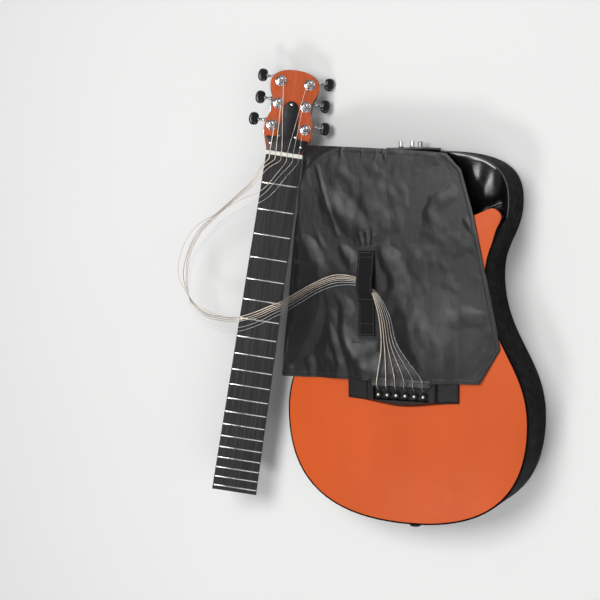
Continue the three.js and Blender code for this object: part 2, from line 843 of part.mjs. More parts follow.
function bridge() {
  const mirrored = bridgeStationShares.slice(1).reverse().map((t) => -t);
  const stations = [...mirrored, ...bridgeStationShares].map((t) => t * bridgeHalf);
  const flats = stations.map((x) => {
    const [low, high, top] = [bridgeLowerEdge(x), bridgeUpperY, bridgeHeightAt(x)];
    return [
      [low, 0],
      [high, 0],
      [high, top - bridgeBevel],
      [high - bridgeBevel, top],
      [low + bellySlope, top],
      [low, bellyLip],
    ];
  });
  const rings = flats.map((flat, i) => flat.map(([y, z]) => new THREE.Vector3(stations[i], y, bridgeBase + z)));
  const solid = loft(rings, flats.map((flat) => flat.map(([y, z]) => new THREE.Vector2(y, z))));
  const slotHalf = saddleThickness / 2 + gap;
  const slot = block(
    -saddleLength / 2 - gap,
    saddleLength / 2 + gap,
    saddleY - slotHalf,
    saddleY + slotHalf,
    bridgeBase + blockHeight - saddleSeat,
    bridgeBase + blockHeight + overrun,
  );
  return cut(solid, slot, pinPocket(), ...pinHoles(bridgeBase - overrun, bridgeBase + blockHeight + overrun));
}

// The sunk place that the pins stand in, wider at its mouth
function pinPocket() {
  const levels = [
    [bridgeBase + pocketFloor, pocketDraft],
    [bridgeBase + blockHeight, 0],
    [bridgeBase + blockHeight + overrun, 0],
  ];
  const flats = levels.map(([, inset]) => [
    new THREE.Vector2(inset - pocketHalf, pocketLowY + inset),
    new THREE.Vector2(pocketHalf - inset, pocketLowY + inset),
    new THREE.Vector2(pocketHalf - inset, pocketHighY),
    new THREE.Vector2(inset - pocketHalf, pocketHighY),
  ]);
  const rings = flats.map((flat, i) => flat.map((p) => new THREE.Vector3(p.x, p.y, levels[i][0])));
  return loft(rings, flats);
}

function saddle() {
  const low = bridgeBase + blockHeight - saddleSeat + gap;
  const high = bridgeBase + blockHeight + saddleRise;
  const half = saddleThickness / 2;
  const side = [
    new THREE.Vector2(-half, low),
    new THREE.Vector2(half, low),
    new THREE.Vector2(half, high - half),
    new THREE.Vector2(half / 2, high),
    new THREE.Vector2(-half / 2, high),
    new THREE.Vector2(-half, high - half),
  ];
  return prism(side, -saddleLength / 2, saddleLength / 2)
    .rotateX(Math.PI / 2)
    .rotateZ(Math.PI / 2)
    .translate(0, saddleY, 0);
}

const pinCollar = bridgeBase + pocketFloor + gap;

function bridgePin() {
  const head = pinHeadRadius;
  return turned(
    [
      [0, pinCollar - pinLength],
      [pinTipRadius, pinCollar - pinLength + pinTipRadius / 2],
      [pinRadius, pinCollar],
      ...pinHeadShares.map(([radius, height]) => [head * radius, pinCollar + head * height]),
    ],
    8,
  );
}

function jointPlate() {
  const half = jointPlateWidth / 2;
  const plate = block(-half, half, neckEndY, neckEndY + jointPlateThickness, jointPlateLow, jointPlateHigh);
  const pins = [-1, 1].map((side) =>
    turned(
      [
        [0, 0],
        [guidePinRadius, 0],
        [guidePinRadius, jointPlateThickness + guidePinLength - guidePinRadius / 2],
        [guidePinRadius / 2, jointPlateThickness + guidePinLength],
        [0, jointPlateThickness + guidePinLength],
      ],
      12,
    )
      .rotateX(-Math.PI / 2)
      .translate((side * guidePinSpread) / 2, neckEndY, topZ - guidePinDrop),
  );
  const hole = rod(lockRadius + gap, -overrun, jointPlateThickness + overrun, 12)
    .rotateX(-Math.PI / 2)
    .translate(0, neckEndY, lockHeight);
  return cut(join(plate, ...pins), hole);
}

function lockBolt() {
  const wheelOutline = [];
  for (let i = 0; i < wheelNotches * 2; i += 1) {
    const radius = wheelRadius * (i % 2 ? notchDepthShare : 1);
    const angle = (i * Math.PI) / wheelNotches;
    wheelOutline.push(new THREE.Vector2(radius * Math.cos(angle), radius * Math.sin(angle)));
  }
  const wheel = prism(wheelOutline, -wheelWidth / 2, wheelWidth / 2);
  const reach = wheelSetback + jointPlateThickness + lockThread;
  const shank = rod(lockRadius, -neckBlockLength / 4, reach, 10);
  return join(wheel, shank).rotateX(-Math.PI / 2).translate(0, wheelY, lockHeight);
}

function strapButton() {
  const start = -gap;
  return turned(
    [
      [0, -buttonShankLength],
      [buttonShank, -buttonShankLength],
      [buttonShank, -start],
      [buttonBase, -start],
      [buttonWaist, buttonLength / 3],
      [buttonWaist, buttonLength - flangeThickness * flangeFlareShare],
      [buttonFlange, buttonLength - flangeThickness],
      [buttonFlange, buttonLength - flangeThickness / 3],
      [buttonFlange * flangeCrownShare, buttonLength],
      [0, buttonLength],
    ],
    12,
  )
    .rotateX(Math.PI / 2)
    .translate(0, tailY, bodyDepth / 2);
}

place(body, 'soundboard', soundboard(), finishes.orange());
place(body, 'rim', rim(), finishes.blackSatin());
place(body, 'back_panel', backPanel(), finishes.blackGloss());
place(body, 'cutaway_scoop', scoopPanel(), finishes.blackGloss());
place(body, 'neck_block', neckBlock(), finishes.mahogany());
place(body, 'tail_block', tailBlock(), finishes.mahogany());
place(body, 'top_bracing', topBracing(), finishes.spruce());
place(body, 'back_bracing', backBracing(), finishes.spruce());
place(body, 'bridge_plate', bridgePlate(), finishes.mahogany());
place(body, 'bridge', bridge(), finishes.ebony());
place(body, 'saddle', saddle(), finishes.ivory());
pinXs.forEach((x, i) => {
  place(body, `bridge_pin_${i + 1}`, bridgePin().translate(x, 0, 0), finishes.blackPlastic());
});
place(body, 'neck_joint_plate', jointPlate(), finishes.chrome());
place(body, 'lock_bolt', lockBolt(), finishes.steel());
place(body, 'strap_button', strapButton(), finishes.blackPlastic());

// Neck
const fretAt = (n) => scaleLength * (1 - 2 ** (-n / 12));
const heelY = -fretAt(jointFret);
const fretboardEndY = -fretAt(fretCount) - fretboardTail;

function neckHalfAt(y) {
  const share = y / -fretAt(fretCount);
  return (nutWidth + (fretboardEndWidth - nutWidth) * share) / 2;
}

function fretboard() {
  const ends = [0, fretboardEndY];
  const outline = [...ends.map((y) => new THREE.Vector2(neckHalfAt(y), y))];
  outline.push(...outline.slice().reverse().map((p) => new THREE.Vector2(-p.x, p.y)));
  const board = prism(outline, -fretboardThickness, 0);
  const frets = Array.from({ length: fretCount }, (_, n) => {
    const half = neckHalfAt(-fretAt(n + 1)) - fretInset;
    const crown = [
      new THREE.Vector2(-fretWidth / 2, -fretRise),
      new THREE.Vector2(-fretWidth / 4, fretRise),
      new THREE.Vector2(fretWidth / 4, fretRise),
      new THREE.Vector2(fretWidth / 2, -fretRise),
    ];
    return prism(crown, -half, half)
      .rotateX(Math.PI / 2)
      .rotateZ(Math.PI / 2)
      .translate(0, -fretAt(n + 1), 0);
  });
  return join(board, ...frets);
}

const neckTop = -fretboardThickness - gap;

// Depth of the neck below the fretboard, down the shaft and round the heel's curve
function shaftDepthAt(y) {
  const plain = THREE.MathUtils.lerp(shaftDepthAtNut, shaftDepthAtHeel, y / heelY);
  const share = THREE.MathUtils.clamp((heelY + heelRun - y) / heelRun, 0, 1);
  return plain + (heelDepth - plain) * (1 - Math.sqrt(1 - (share * heelCurveShare) ** 2)) * (1 / heelScale);
}
const heelScale = 1 - Math.sqrt(1 - heelCurveShare ** 2);

function neckSection(y) {
  const half = neckHalfAt(y);
  const depth = shaftDepthAt(y);
  const deep = THREE.MathUtils.clamp((depth - shaftDepthAtHeel) / (heelDepth - shaftDepthAtHeel), 0, 1);
  const points = [];
  for (let i = 0; i <= neckTurns; i += 1) {
    const angle = (i * Math.PI) / neckTurns;
    const down = Math.sin(angle);
    const across = Math.cos(angle);
    const keel = THREE.MathUtils.lerp(half, heelCapWidth / 2, down) * Math.sign(across);
    const pinch = keel * Math.min(1, Math.abs(across) / heelKeelShare);
    const x = THREE.MathUtils.lerp(half * across, pinch, smooth(deep));
    points.push(new THREE.Vector2(x, -depth * down ** THREE.MathUtils.lerp(1, heelRoundShare, deep)));
  }
  return points;
}

function shaft() {
  const heelStations = heelStationShares.map((t) => heelY + heelRun * t);
  const stations = [0, ...shaftStationShares.map((t) => (heelY + heelRun) * t), ...heelStations];
  const flats = stations.map(neckSection);
  const rings = flats.map((flat, i) => flat.map((p) => new THREE.Vector3(p.x, stations[i], neckTop + p.y)));
  return loft(rings, flats);
}

// The headstock's own frame: face up, hinged back behind the nut
headstock.position.set(0, nutDepth + gap * 2, -headDrop);
headstock.rotation.x = THREE.MathUtils.degToRad(-headPitch);
headstock.updateMatrix();

function headHalfOutline(inset, baseY) {
  const half = nutWidth / 2;
  const curve = new THREE.Path();
  curve.moveTo(half - inset, baseY);
  curve.bezierCurveTo(
    half - inset,
    headShoulderY * headFlareShares[0],
    headShoulderHalf - inset,
    headShoulderY * headFlareShares[1],
    headShoulderHalf - inset,
    headShoulderY,
  );
  const firstMid = (headShoulderY + headWaistY) / 2;
  curve.bezierCurveTo(
    headShoulderHalf - inset,
    firstMid,
    headWaistHalf - inset,
    firstMid,
    headWaistHalf - inset,
    headWaistY,
  );
  const secondMid = (headWaistY + headCrownY) / 2;
  curve.bezierCurveTo(
    headWaistHalf - inset,
    secondMid,
    headCrownHalf - inset,
    secondMid,
    headCrownHalf - inset,
    headCrownY,
  );
  const crownRun = headLength - inset - headCrownY;
  curve.bezierCurveTo(
    headCrownHalf - inset,
    headCrownY + crownRun * headCornerShare,
    (headCrownHalf - inset) * headCornerShare,
    headLength - inset,
    0,
    headLength - inset,
  );
  return curve.getPoints(5);
}

function headOutline(inset, baseY) {
  const right = headHalfOutline(inset, baseY);
  return [...right, ...right.slice(0, -1).reverse().map((p) => new THREE.Vector2(-p.x, p.y))];
}

const posts = [-1, 1].flatMap((side) =>
  postRowsY.map((y, row) => ({ side, row, x: side * postRowsX[row], y, id: `${side < 0 ? 'bass' : 'treble'}_${row + 1}` })),
);
const coreLow = -faceThickness - gap - coreThickness;

function postHoles(low, high) {
  return posts.map((post) => rod(sleeveRadius + gap, low, high, 12).translate(post.x, post.y, 0));
}

function headstockFace() {
  const plate = prism(headOutline(0, headStart), -faceThickness, 0);
  return cut(plate, ...postHoles(-faceThickness - overrun, overrun));
}

function headstockCore() {
  const rootY = -nutDepth - gap * 2;
  const wedge = prism(headOutline(0, rootY), coreLow, -faceThickness - gap);
  return cut(wedge, ...postHoles(coreLow - overrun, overrun)).applyMatrix4(headstock.matrix);
}

const rodChannelEnd = heelY + heelRun / 2;

function neckWood() {
  const core = headstockCore();
  const nutLedge = block(-nutWidth / 2, nutWidth / 2, -overrun, nutDepth + gap, neckTop - shaftDepthAtNut / 2, neckTop);
  const channelHalf = trussRodRadius + rodClearance;
  const channel = block(-channelHalf, channelHalf, rodChannelEnd, -fretWidth, neckTop - rodDepth, neckTop + overrun);
  const trimAbove = block(-nutWidth, nutWidth, heelY - overrun, nutDepth + gap, neckTop, neckTop + heelDepth);
  const socketDrop = neckTop + gap - guidePinDrop;
  const plateRoom = block(
    -heelPlateWidth / 2 - gap,
    heelPlateWidth / 2 + gap,
    heelY - overrun,
    heelY + heelPlateThickness + gap,
    neckTop - heelDepth,
    neckTop - fretWidth,
  );
  const sockets = [-1, 1].map((side) =>
    rod(socketRadius, 0, guidePinLength + overrun * 2, 10)
      .rotateX(-Math.PI / 2)
      .translate((side * guidePinSpread) / 2, heelY, socketDrop),
  );
  const boltDrop = neckTop + gap - (bodyDepth - lockHeight);
  const boltSocket = rod(lockRadius + gap, 0, lockThread + overrun * 2, 10)
    .rotateX(-Math.PI / 2)
    .translate(0, heelY, boltDrop);
  return cut(join(shaft(), core, nutLedge), channel, trimAbove, plateRoom, ...sockets, boltSocket);
}

function heelPlate() {
  const half = heelPlateWidth / 2;
  const low = neckTop - heelDepth + gap * 2;
  const high = neckTop - fretWidth - gap;
  const plate = block(-half, half, heelY, heelY + heelPlateThickness, low, high);
  const inside = shaftSlice();
  const socketDrop = neckTop + gap - guidePinDrop;
  const boltDrop = neckTop + gap - (bodyDepth - lockHeight);
  const holes = [
    [-guidePinSpread / 2, socketDrop, guidePinRadius + gap],
    [guidePinSpread / 2, socketDrop, guidePinRadius + gap],
    [0, boltDrop, lockRadius + gap],
  ].map(([x, z, radius]) =>
    rod(radius, -overrun, heelPlateThickness + overrun, 12).rotateX(-Math.PI / 2).translate(x, heelY, z),
  );
  return cut(common(plate, inside), ...holes);
}

// The heel's outline near its end face, a little smaller than the wood, for fitting the plate
function shaftSlice() {
  const flat = neckSection(heelY + heelPlateThickness * 2).map((p) => new THREE.Vector2(p.x * 0.9, p.y * 0.95));
  const ends = [heelY - overrun, heelY + heelPlateThickness + overrun];
  return loft(ends.map((y) => flat.map((p) => new THREE.Vector3(p.x, y, neckTop + p.y))), [flat, flat]);
}

function trussRod() {
  return rod(trussRodRadius, rodChannelEnd + gap, -fretWidth - gap, 10)
    .rotateX(-Math.PI / 2)
    .translate(0, 0, neckTop - trussRodRadius - rodClearance);
}

function nut() {
  const low = neckTop + gap;
  const solid = block(-nutWidth / 2, nutWidth / 2, gap, gap + nutDepth, low, nutRise);
  const slots = stringPlaceShares.map((k, i) => {
    const half = stringGauges[i] / 2 + gap;
    const x = (k * stringSpreadAtNut) / 2;
    return block(x - half, x + half, -overrun, nutDepth + overrun, nutRise - nutSlotDepth, nutRise + overrun);
  });
  return cut(solid, ...slots);
}

function trussCover() {
  const low = gap;
  const high = gap + coverPlateThickness;
  const baseOutline = headOutline(coverPlateInset, coverPlateInset).filter((p) => p.y < coverPlateBase);
  const half = Math.max(...baseOutline.map((p) => p.x));
  const right = baseOutline.filter((p) => p.x > 0);
  const left = right.slice().reverse().map((p) => new THREE.Vector2(-p.x, p.y));
  const archHalf = coverPlateArchHalf;
  const archTurn = new THREE.Path();
  archTurn.moveTo(half, coverPlateBase);
  archTurn.lineTo(archHalf + coverPlateInset * 2, coverPlateBase);
  archTurn.quadraticCurveTo(archHalf, coverPlateBase, archHalf, coverPlateBase + coverPlateInset * 3);
  archTurn.lineTo(coverPlateShoulderHalf, coverPlateShoulderY);
  archTurn.bezierCurveTo(
    coverPlateShoulderHalf * coverPlateCurveShares[0],
    THREE.MathUtils.lerp(coverPlateShoulderY, coverPlateTopY, coverPlateCurveShares[1]),
    coverPlateShoulderHalf * coverPlateCurveShares[2],
    coverPlateTopY,
    0,
    coverPlateTopY,
  );
  const arch = archTurn.getPoints(4);
  const archLeft = arch.slice(0, -1).reverse().map((p) => new THREE.Vector2(-p.x, p.y));
  const plate = prism([...right, ...arch, ...archLeft, ...left], low, high);
  const screwPlaces = [
    [0, screwTopY],
    [-screwInnerX, screwInnerY],
    [screwInnerX, screwInnerY],
    [-screwOuterX, screwOuterY],
    [screwOuterX, screwOuterY],
  ];
  const screws = screwPlaces.map(([x, y]) =>
    turned([[0, low + gap], [screwRadius, low + gap], [screwRadius, high], [0, high + screwRise]], 8).translate(x, y, 0),
  );
  return join(plate, ...screws);
}

place(neck, 'fretboard', fretboard(), finishes.ebony());
place(neck, 'neck', neckWood(), finishes.blackSatin());
place(neck, 'nut', nut(), finishes.ivory());
place(neck, 'truss_rod', trussRod(), finishes.steel());
place(neck, 'heel_plate', heelPlate(), finishes.steel());
place(headstock, 'headstock_face', headstockFace(), finishes.orangeStain());
place(headstock, 'truss_rod_cover', trussCover(), finishes.blackSatin());

// Tuner: worm and wheel, set behind the headstock
const gearTop = coreLow - gap - plateThickness - gearClearance;
const gearLow = gearTop - gearThickness;
const wormZ = (gearTop + gearLow) / 2;
const pitch = (2 * Math.PI * gearRadius) / wheelTeeth;
const wormOffset = gearRadius + wormRadius;
const leadTwist = (gearThickness * pitch) / (2 * Math.PI * wormRadius) / gearRadius;

function tunerPost(side) {
  const outline = [];
  const outer = gearRadius + toothHeight * toothTipShare;
  const inner = gearRadius - toothHeight;
  const step = (2 * Math.PI) / wheelTeeth;
  for (let i = 0; i < wheelTeeth; i += 1) {
    const centre = Math.PI / 2 + i * step;
    const root = step * ((1 - threadShare) / 2 - toothPlayShare);
    const tip = step * (threadShare / 2 - toothPlayShare);
    for (const [angle, radius] of [[-root, inner], [-tip, outer], [tip, outer], [root, inner]]) {
      outline.push(new THREE.Vector2(radius * Math.cos(centre + angle), radius * Math.sin(centre + angle)));
    }
  }
  const levels = [gearLow, gearTop];
  const flats = levels.map((z) => {
    const turn = ((z - wormZ) / gearThickness) * leadTwist * side;
    return outline.map((p) => p.clone().rotateAround(new THREE.Vector2(), turn));
  });
  const wheel = loft(flats.map((flat, i) => flat.map((p) => new THREE.Vector3(p.x, p.y, levels[i]))), flats);
  const top = postHeight;
  const stem = turned(
    [
      [0, gearLow - gearScrewHeight],
      [gearScrewRadius, gearLow - gearScrewHeight],
      [gearScrewRadius, gearTop - gearThickness / 2],
      [postRadius, gearTop - gearThickness / 2],
      [postRadius, postWaistHeight + nutHexHeight],
      [postWaistRadius, postWaistHeight + nutHexHeight + gap * 2],
      [postWaistRadius, top - postWaistHeight],
      [postRadius, top - postWaistHeight / 2],
      [postRadius, top - gap],
      [postRadius / 2, top],
      [0, top],
    ],
    8,
  );
  return join(wheel, stem);
}

// Worm: a ridge wound round the shaft, one turn a tooth
function worm(side) {
  const turns = wormLength / pitch;
  const steps = Math.round(turns * wormStepsPerTurn);
  const rings = [];
  const flats = [];
  const profile = (phase) => {
    const near = Math.abs(THREE.MathUtils.euclideanModulo(phase / (2 * Math.PI) + 1 / 2, 1) - 1 / 2) * 2;
    const crest = threadShare * crestShare;
    const foot = 1 - threadShare;
    return 1 - smooth((near - crest) / (foot - crest));
  };
  for (let k = 0; k <= steps; k += 1) {
    const x = -wormLength / 2 + (wormLength * k) / steps;
    const ring = [];
    for (let i = 0; i < wormSides; i += 1) {
      const angle = (i * 2 * Math.PI) / wormSides;
      const ends = k === 0 || k === steps ? 0 : 1;
      const height = profile((2 * Math.PI * x) / pitch + side * angle + Math.PI) * ends;
      const radius = wormRadius - toothHeight + height * toothHeight * (1 + threadRiseShare);
      ring.push(new THREE.Vector2(radius * Math.sin(angle), -radius * Math.cos(angle)));
    }
    flats.push(ring);
    rings.push(ring.map((p) => new THREE.Vector3(x, p.y, p.x)));
  }
  return loft(rings, flats);
}

function keyButton() {
  const half = keyButtonHalf;
  const long = keyButtonLength / 2;
  const outline = new THREE.Shape();
  const { shoulder, lean, tip, belly } = keyCurveShares;
  outline.moveTo(-half, -long * shoulder);
  outline.bezierCurveTo(-half, -long, -half * lean, -long, half * tip, -long);
  outline.bezierCurveTo(half, -long, half, -long * belly, half, 0);
  outline.bezierCurveTo(half, long * belly, half, long, half * tip, long);
  outline.bezierCurveTo(-half * lean, long, -half, long, -half, long * shoulder);
  const bevel = keyButtonThickness / 4;
  const core = keyButtonThickness - bevel * 2;
  return new THREE.ExtrudeGeometry(outline, {
    depth: core,
    bevelEnabled: true,
    bevelThickness: bevel,
    bevelSize: bevel,
    bevelOffset: -bevel,
    bevelSegments: 1,
    curveSegments: 3,
  }).translate(0, 0, -core / 2);
}

function tunerKey(side) {
  const buttonStart = keyReach - keyButtonHalf;
  const tail = -plateLugReach - plateLugThickness;
  const shaftProfile = [
    [0, tail],
    [keyShaftRadius, tail],
    [keyShaftRadius, -wormLength / 2 - gap],
    [wormCoreRadius, -wormLength / 2 + gap],
    [wormCoreRadius, wormLength / 2 - gap],
    [keyShaftRadius, wormLength / 2 + gap],
    [keyShaftRadius, plateLugReach + plateLugThickness + gap],
    [keyCollarRadius, plateLugReach + plateLugThickness + gap],
    [keyCollarRadius, plateLugReach + plateLugThickness * 2],
    [keyShaftRadius, plateLugReach + plateLugThickness * 2.5],
    [keyShaftRadius, buttonStart - gap * 4],
    [keyCollarRadius, buttonStart - gap],
    [keyCollarRadius, buttonStart + keyButtonHalf / 2],
    [0, buttonStart + keyButtonHalf / 2],
  ];
  const stem = turned(shaftProfile, 6).rotateY(Math.PI / 2);
  const button = keyButton().translate(keyReach, 0, 0);
  return join(stem, worm(side), button);
}

function tunerPlate() {
  const low = coreLow - gap - plateThickness;
  const high = coreLow - gap;
  const edgeX = plateLugReach + plateLugThickness;
  const topY = wormOffset + plateEdge;
  const base = block(-edgeX, edgeX, -gearRadius - plateEdge, topY, low, high);
  const lugLow = wormZ - keyShaftRadius - plateLugThickness;
  const lugs = [-1, 1].map((end) => {
    const near = end * (plateLugReach + tunerRunning);
    const far = end * edgeX;
    const [inner, outer] = [Math.min(near, far), Math.max(near, far)];
    return block(inner, outer, wormOffset - plateEdge - gap, topY, lugLow, high - plateThickness / 2);
  });
  const bore = rod(keyShaftRadius + tunerRunning, -edgeX - overrun, edgeX + overrun, 8)
    .rotateY(Math.PI / 2)
    .translate(0, wormOffset, wormZ);
  const postBore = rod(postRadius + tunerRunning, low - overrun, high + overrun, 10);
  const screws = [-1, 1].map((end) =>
    turned(
      [
        [0, low - screwRise],
        [screwRadius, low],
        [screwRadius, low + plateThickness / 2],
        [0, low + plateThickness / 2],
      ],
      8,
    ).translate(end * (edgeX - screwRadius * plateScrewShare), screwRadius * plateScrewShare - gearRadius - plateEdge, 0),
  );
  return cut(join(base, ...lugs, ...screws), bore, postBore);
}

function tunerBushing() {
  const sleeveLow = coreLow + gap;
  const washerLow = gap;
  const washerHigh = washerLow + washerThickness;
  const outer = turned(
    [
      [0, sleeveLow],
      [sleeveRadius, sleeveLow],
      [sleeveRadius, washerLow],
      [washerRadius, washerLow],
      [washerRadius - washerThickness / 2, washerHigh],
      [nutHexRadius, washerHigh],
      [nutHexRadius, washerHigh + nutHexHeight * nutHexShares[0]],
      [nutHexRadius * nutHexShares[1], washerHigh + nutHexHeight],
      [0, washerHigh + nutHexHeight],
    ],
    10,
  );
  return cut(outer, rod(postRadius + tunerRunning, sleeveLow - overrun, washerHigh + nutHexHeight + overrun, 8));
}

for (const post of posts) {
  const tuner = new THREE.Group();
  tuner.position.set(post.x, post.y, 0);
  headstock.add(tuner);
  place(tuner, `tuner_plate_${post.id}`, tunerPlate(), finishes.chrome());
  place(tuner, `tuner_post_${post.id}`, tunerPost(post.side), finishes.chrome());
  place(tuner, `tuner_bushing_${post.id}`, tunerBushing(), finishes.chrome());
  const key = tunerKey(post.side);
  if (post.side < 0) key.rotateZ(Math.PI).rotateX(Math.PI);
  key.translate(0, wormOffset, wormZ);
  place(tuner, `tuner_key_${post.id}`, key, finishes.blackPlastic());
}

// Lay the neck on its heel and tuner buttons
function lowestOf(objects) {
  let low = Infinity;
  const p = new THREE.Vector3();
  for (const mesh of objects) {
    const corners = mesh.geometry.attributes.position;
    for (let i = 0; i < corners.count; i += 1) {
      low = Math.min(low, p.fromBufferAttribute(corners, i).applyMatrix4(mesh.matrixWorld).z);
    }
  }
  return low;
}

function layNeck() {
  const meshes = [];
  neck.traverse((o) => o.isMesh && meshes.push(o));
  const heelParts = meshes.filter((m) => m.name === 'neck' || m.name === 'heel_plate');
  const keyParts = meshes.filter((m) => m.name.startsWith('tuner'));
  neck.rotation.order = 'ZXY';
  let low = -neckPitchAngleLimit;
  let high = neckPitchAngleLimit;
  for (let i = 0; i < seatRounds; i += 1) {
    const tilt = (low + high) / 2;
    const turns = [-tilt, neckRollAngle, -neckYawAngle].map(THREE.MathUtils.degToRad);
    neck.rotation.set(...turns, 'ZXY');
    neck.position.set(neckNutX, neckNutY, 0);
    neck.updateMatrixWorld(true);
    const headLow = lowestOf(keyParts);
    const heelLow = lowestOf(heelParts);
    if (headLow > heelLow) low = tilt;
    else high = tilt;
    neck.position.z = -Math.min(headLow, heelLow);
  }
  neck.updateMatrixWorld(true);
}
layNeck();

// String cover: lies over the soundboard and the bridge's upper edge, and falls to the neck's near edge
function alongLine(line, share) {
  const points = line.map((p) => new THREE.Vector3(p[0], p[1], p[2] ?? 0));
  const lengths = points.slice(1).map((p, i) => p.distanceTo(points[i]));
  let left = share * lengths.reduce((a, b) => a + b);
  for (let i = 0; i < lengths.length; i += 1) {
    if (left <= lengths[i] || i === lengths.length - 1) {
      return points[i].clone().lerp(points[i + 1], Math.min(1, left / lengths[i]));
    }
    left -= lengths[i];
  }
  return points.at(-1);
}

// How far a point lies outside the body's edge, seen from above; zero over the body
function outsideBy(x, y) {
  const point = new THREE.Vector3(x, y, 0);
  const near = new THREE.Vector3();
  let inside = false;
  let distance = Infinity;
  fullOutline.forEach((a, i) => {
    const b = fullOutline[(i + 1) % fullOutline.length];
    if (a.y > y !== b.y > y && x < a.x + ((b.x - a.x) * (y - a.y)) / (b.y - a.y)) inside = !inside;
    new THREE.Line3(new THREE.Vector3(a.x, a.y, 0), new THREE.Vector3(b.x, b.y, 0)).closestPointToPoint(point, true, near);
    distance = Math.min(distance, near.distanceTo(point));
  });
  return inside ? 0 : distance;
}

// Main folds as ridges between two points, each with a share of the fold height
const coverFolds = [
  [strapLeftX, strapTopY + foldWidth * 2, -112, 262, 1],
  [strapRightX, strapTopY + foldWidth * 2, 8, 262, 0.8],
  [strapRightX + foldWidth * 2, strapTopY, 62, 214, 0.6],
  [-150, 32, -96, 96, 1],
  [-122, 30, -78, 66, 0.8],
];

function foldsAt(x, y) {
  let rise = 0;
  for (const [x0, y0, x1, y1, share] of coverFolds) {
    const along = new THREE.Vector2(x1 - x0, y1 - y0);
    const t = THREE.MathUtils.clamp(((x - x0) * along.x + (y - y0) * along.y) / along.lengthSq(), 0, 1);
    const off = Math.hypot(x - x0 - along.x * t, y - y0 - along.y * t);
    const taper = Math.sin(Math.PI * THREE.MathUtils.clamp(t, foldEnds, 1 - foldEnds));
    rise += share * foldHeight * taper * Math.exp(-((off / foldWidth) ** 2));
  }
  return rise;
}

// Underside height of the cover where it lies on the body
function restHeight(x, y) {
  const nearBridge = smooth((bridgeUpperY * 2 + coverSlack / 2 - y) / bridgeUpperY);
  const acrossBridge = smooth((bridgeHalf + bridgeUpperY + coverSlack - Math.abs(x)) / bridgeUpperY);
  const pastBlock = smooth((Math.abs(x) - blockHalf - coverSlack) / coverSlack);
  const rise = gap + THREE.MathUtils.lerp(blockHeight, wingHeight, pastBlock);
  return topZ + gap + rise * nearBridge * acrossBridge;
}

function coverPoint(u, v, lift) {
  const left = alongLine(coverLeftLine, v);
  const right = alongLine(coverRightLine, v);
  const x = THREE.MathUtils.lerp(left.x, right.x, u);
  const straight = THREE.MathUtils.lerp(left.y, right.y, u);
  const y = v === 0 ? Math.max(straight, coverBottomY * smooth(u * coverColumns)) : straight;
  const outside = Math.max(0, outsideBy(x, y) - coverEdgeEase);
  const reach = Math.max(foldWidth, outsideBy(left.x, left.y) - coverEdgeEase);
  const share = smooth(outside / reach);
  const z = THREE.MathUtils.lerp(restHeight(x, y), left.z - coverThickness, share);
  return new THREE.Vector3(x, y, z + foldsAt(x, y) * (1 - share) + lift);
}

function stringCover() {
  const shares = Array.from({ length: coverRows }, (_, r) => coverHemShare + (r * (1 - coverHemShare)) / (coverRows - 1));
  const grid = (lift) =>
    [0, ...shares].map((v) =>
      Array.from({ length: coverColumns + 1 }, (_, c) => coverPoint(c / coverColumns, v, lift)),
    );
  return sheet(grid(coverThickness), grid(0));
}

// Strap lengths lie on the cover; the flap humps over the strings
const strapBase = topZ + gap + coverThickness + gap;

function strapStrip(yLow, yHigh, heightAt, steps) {
  const rows = Array.from({ length: steps + 1 }, (_, i) => yLow + ((yHigh - yLow) * i) / steps);
  const grid = (lift) =>
    rows.map((y) => [strapLeftX, strapRightX].map((x) => new THREE.Vector3(x, y, heightAt(y) + lift)));
  return sheet(grid(strapThickness), grid(0));
}

function flapHeight(y) {
  const overTab = smooth((strapTabTopY - y) / (strapTabTopY - strapOverlapY)) * (strapThickness + gap);
  const off = y > strapHumpY ? (y - strapHumpY) / strapHumpUpper : (strapHumpY - y) / strapHumpLower;
  const hump = strapHump * smooth((1 - off) * strapHumpShare);
  return strapBase + Math.max(overTab, hump);
}

place(body, 'string_cover', stringCover(), finishes.nylon());
place(body, 'strap_flap', strapStrip(strapOverlapY, strapTopY, flapHeight, 12), finishes.webbing());
place(body, 'strap_tab', strapStrip(strapBottomY, strapOverlapY + gap, () => strapBase, 2), finishes.webbing());

// Strings: each leaves its bridge pin, joins the bundle, and ends at its post
function bundlePoint(i, j) {
  const [x, y, z, turn, places, lift] = stringRoute[j];
  const before = stringRoute[Math.max(0, j - 1)];
  const after = stringRoute[Math.min(stringRoute.length - 1, j + 1)];
  const along = new THREE.Vector2(after[0] - before[0], after[1] - before[1]).normalize();
  const angle = THREE.MathUtils.degToRad(turn);
  const across = places[i] * Math.cos(angle);
  const up = places[i] * Math.sin(angle) + (i === liftedString ? lift : 0);
  return new THREE.Vector3(x - along.y * across, y + along.x * across, z + up);
}

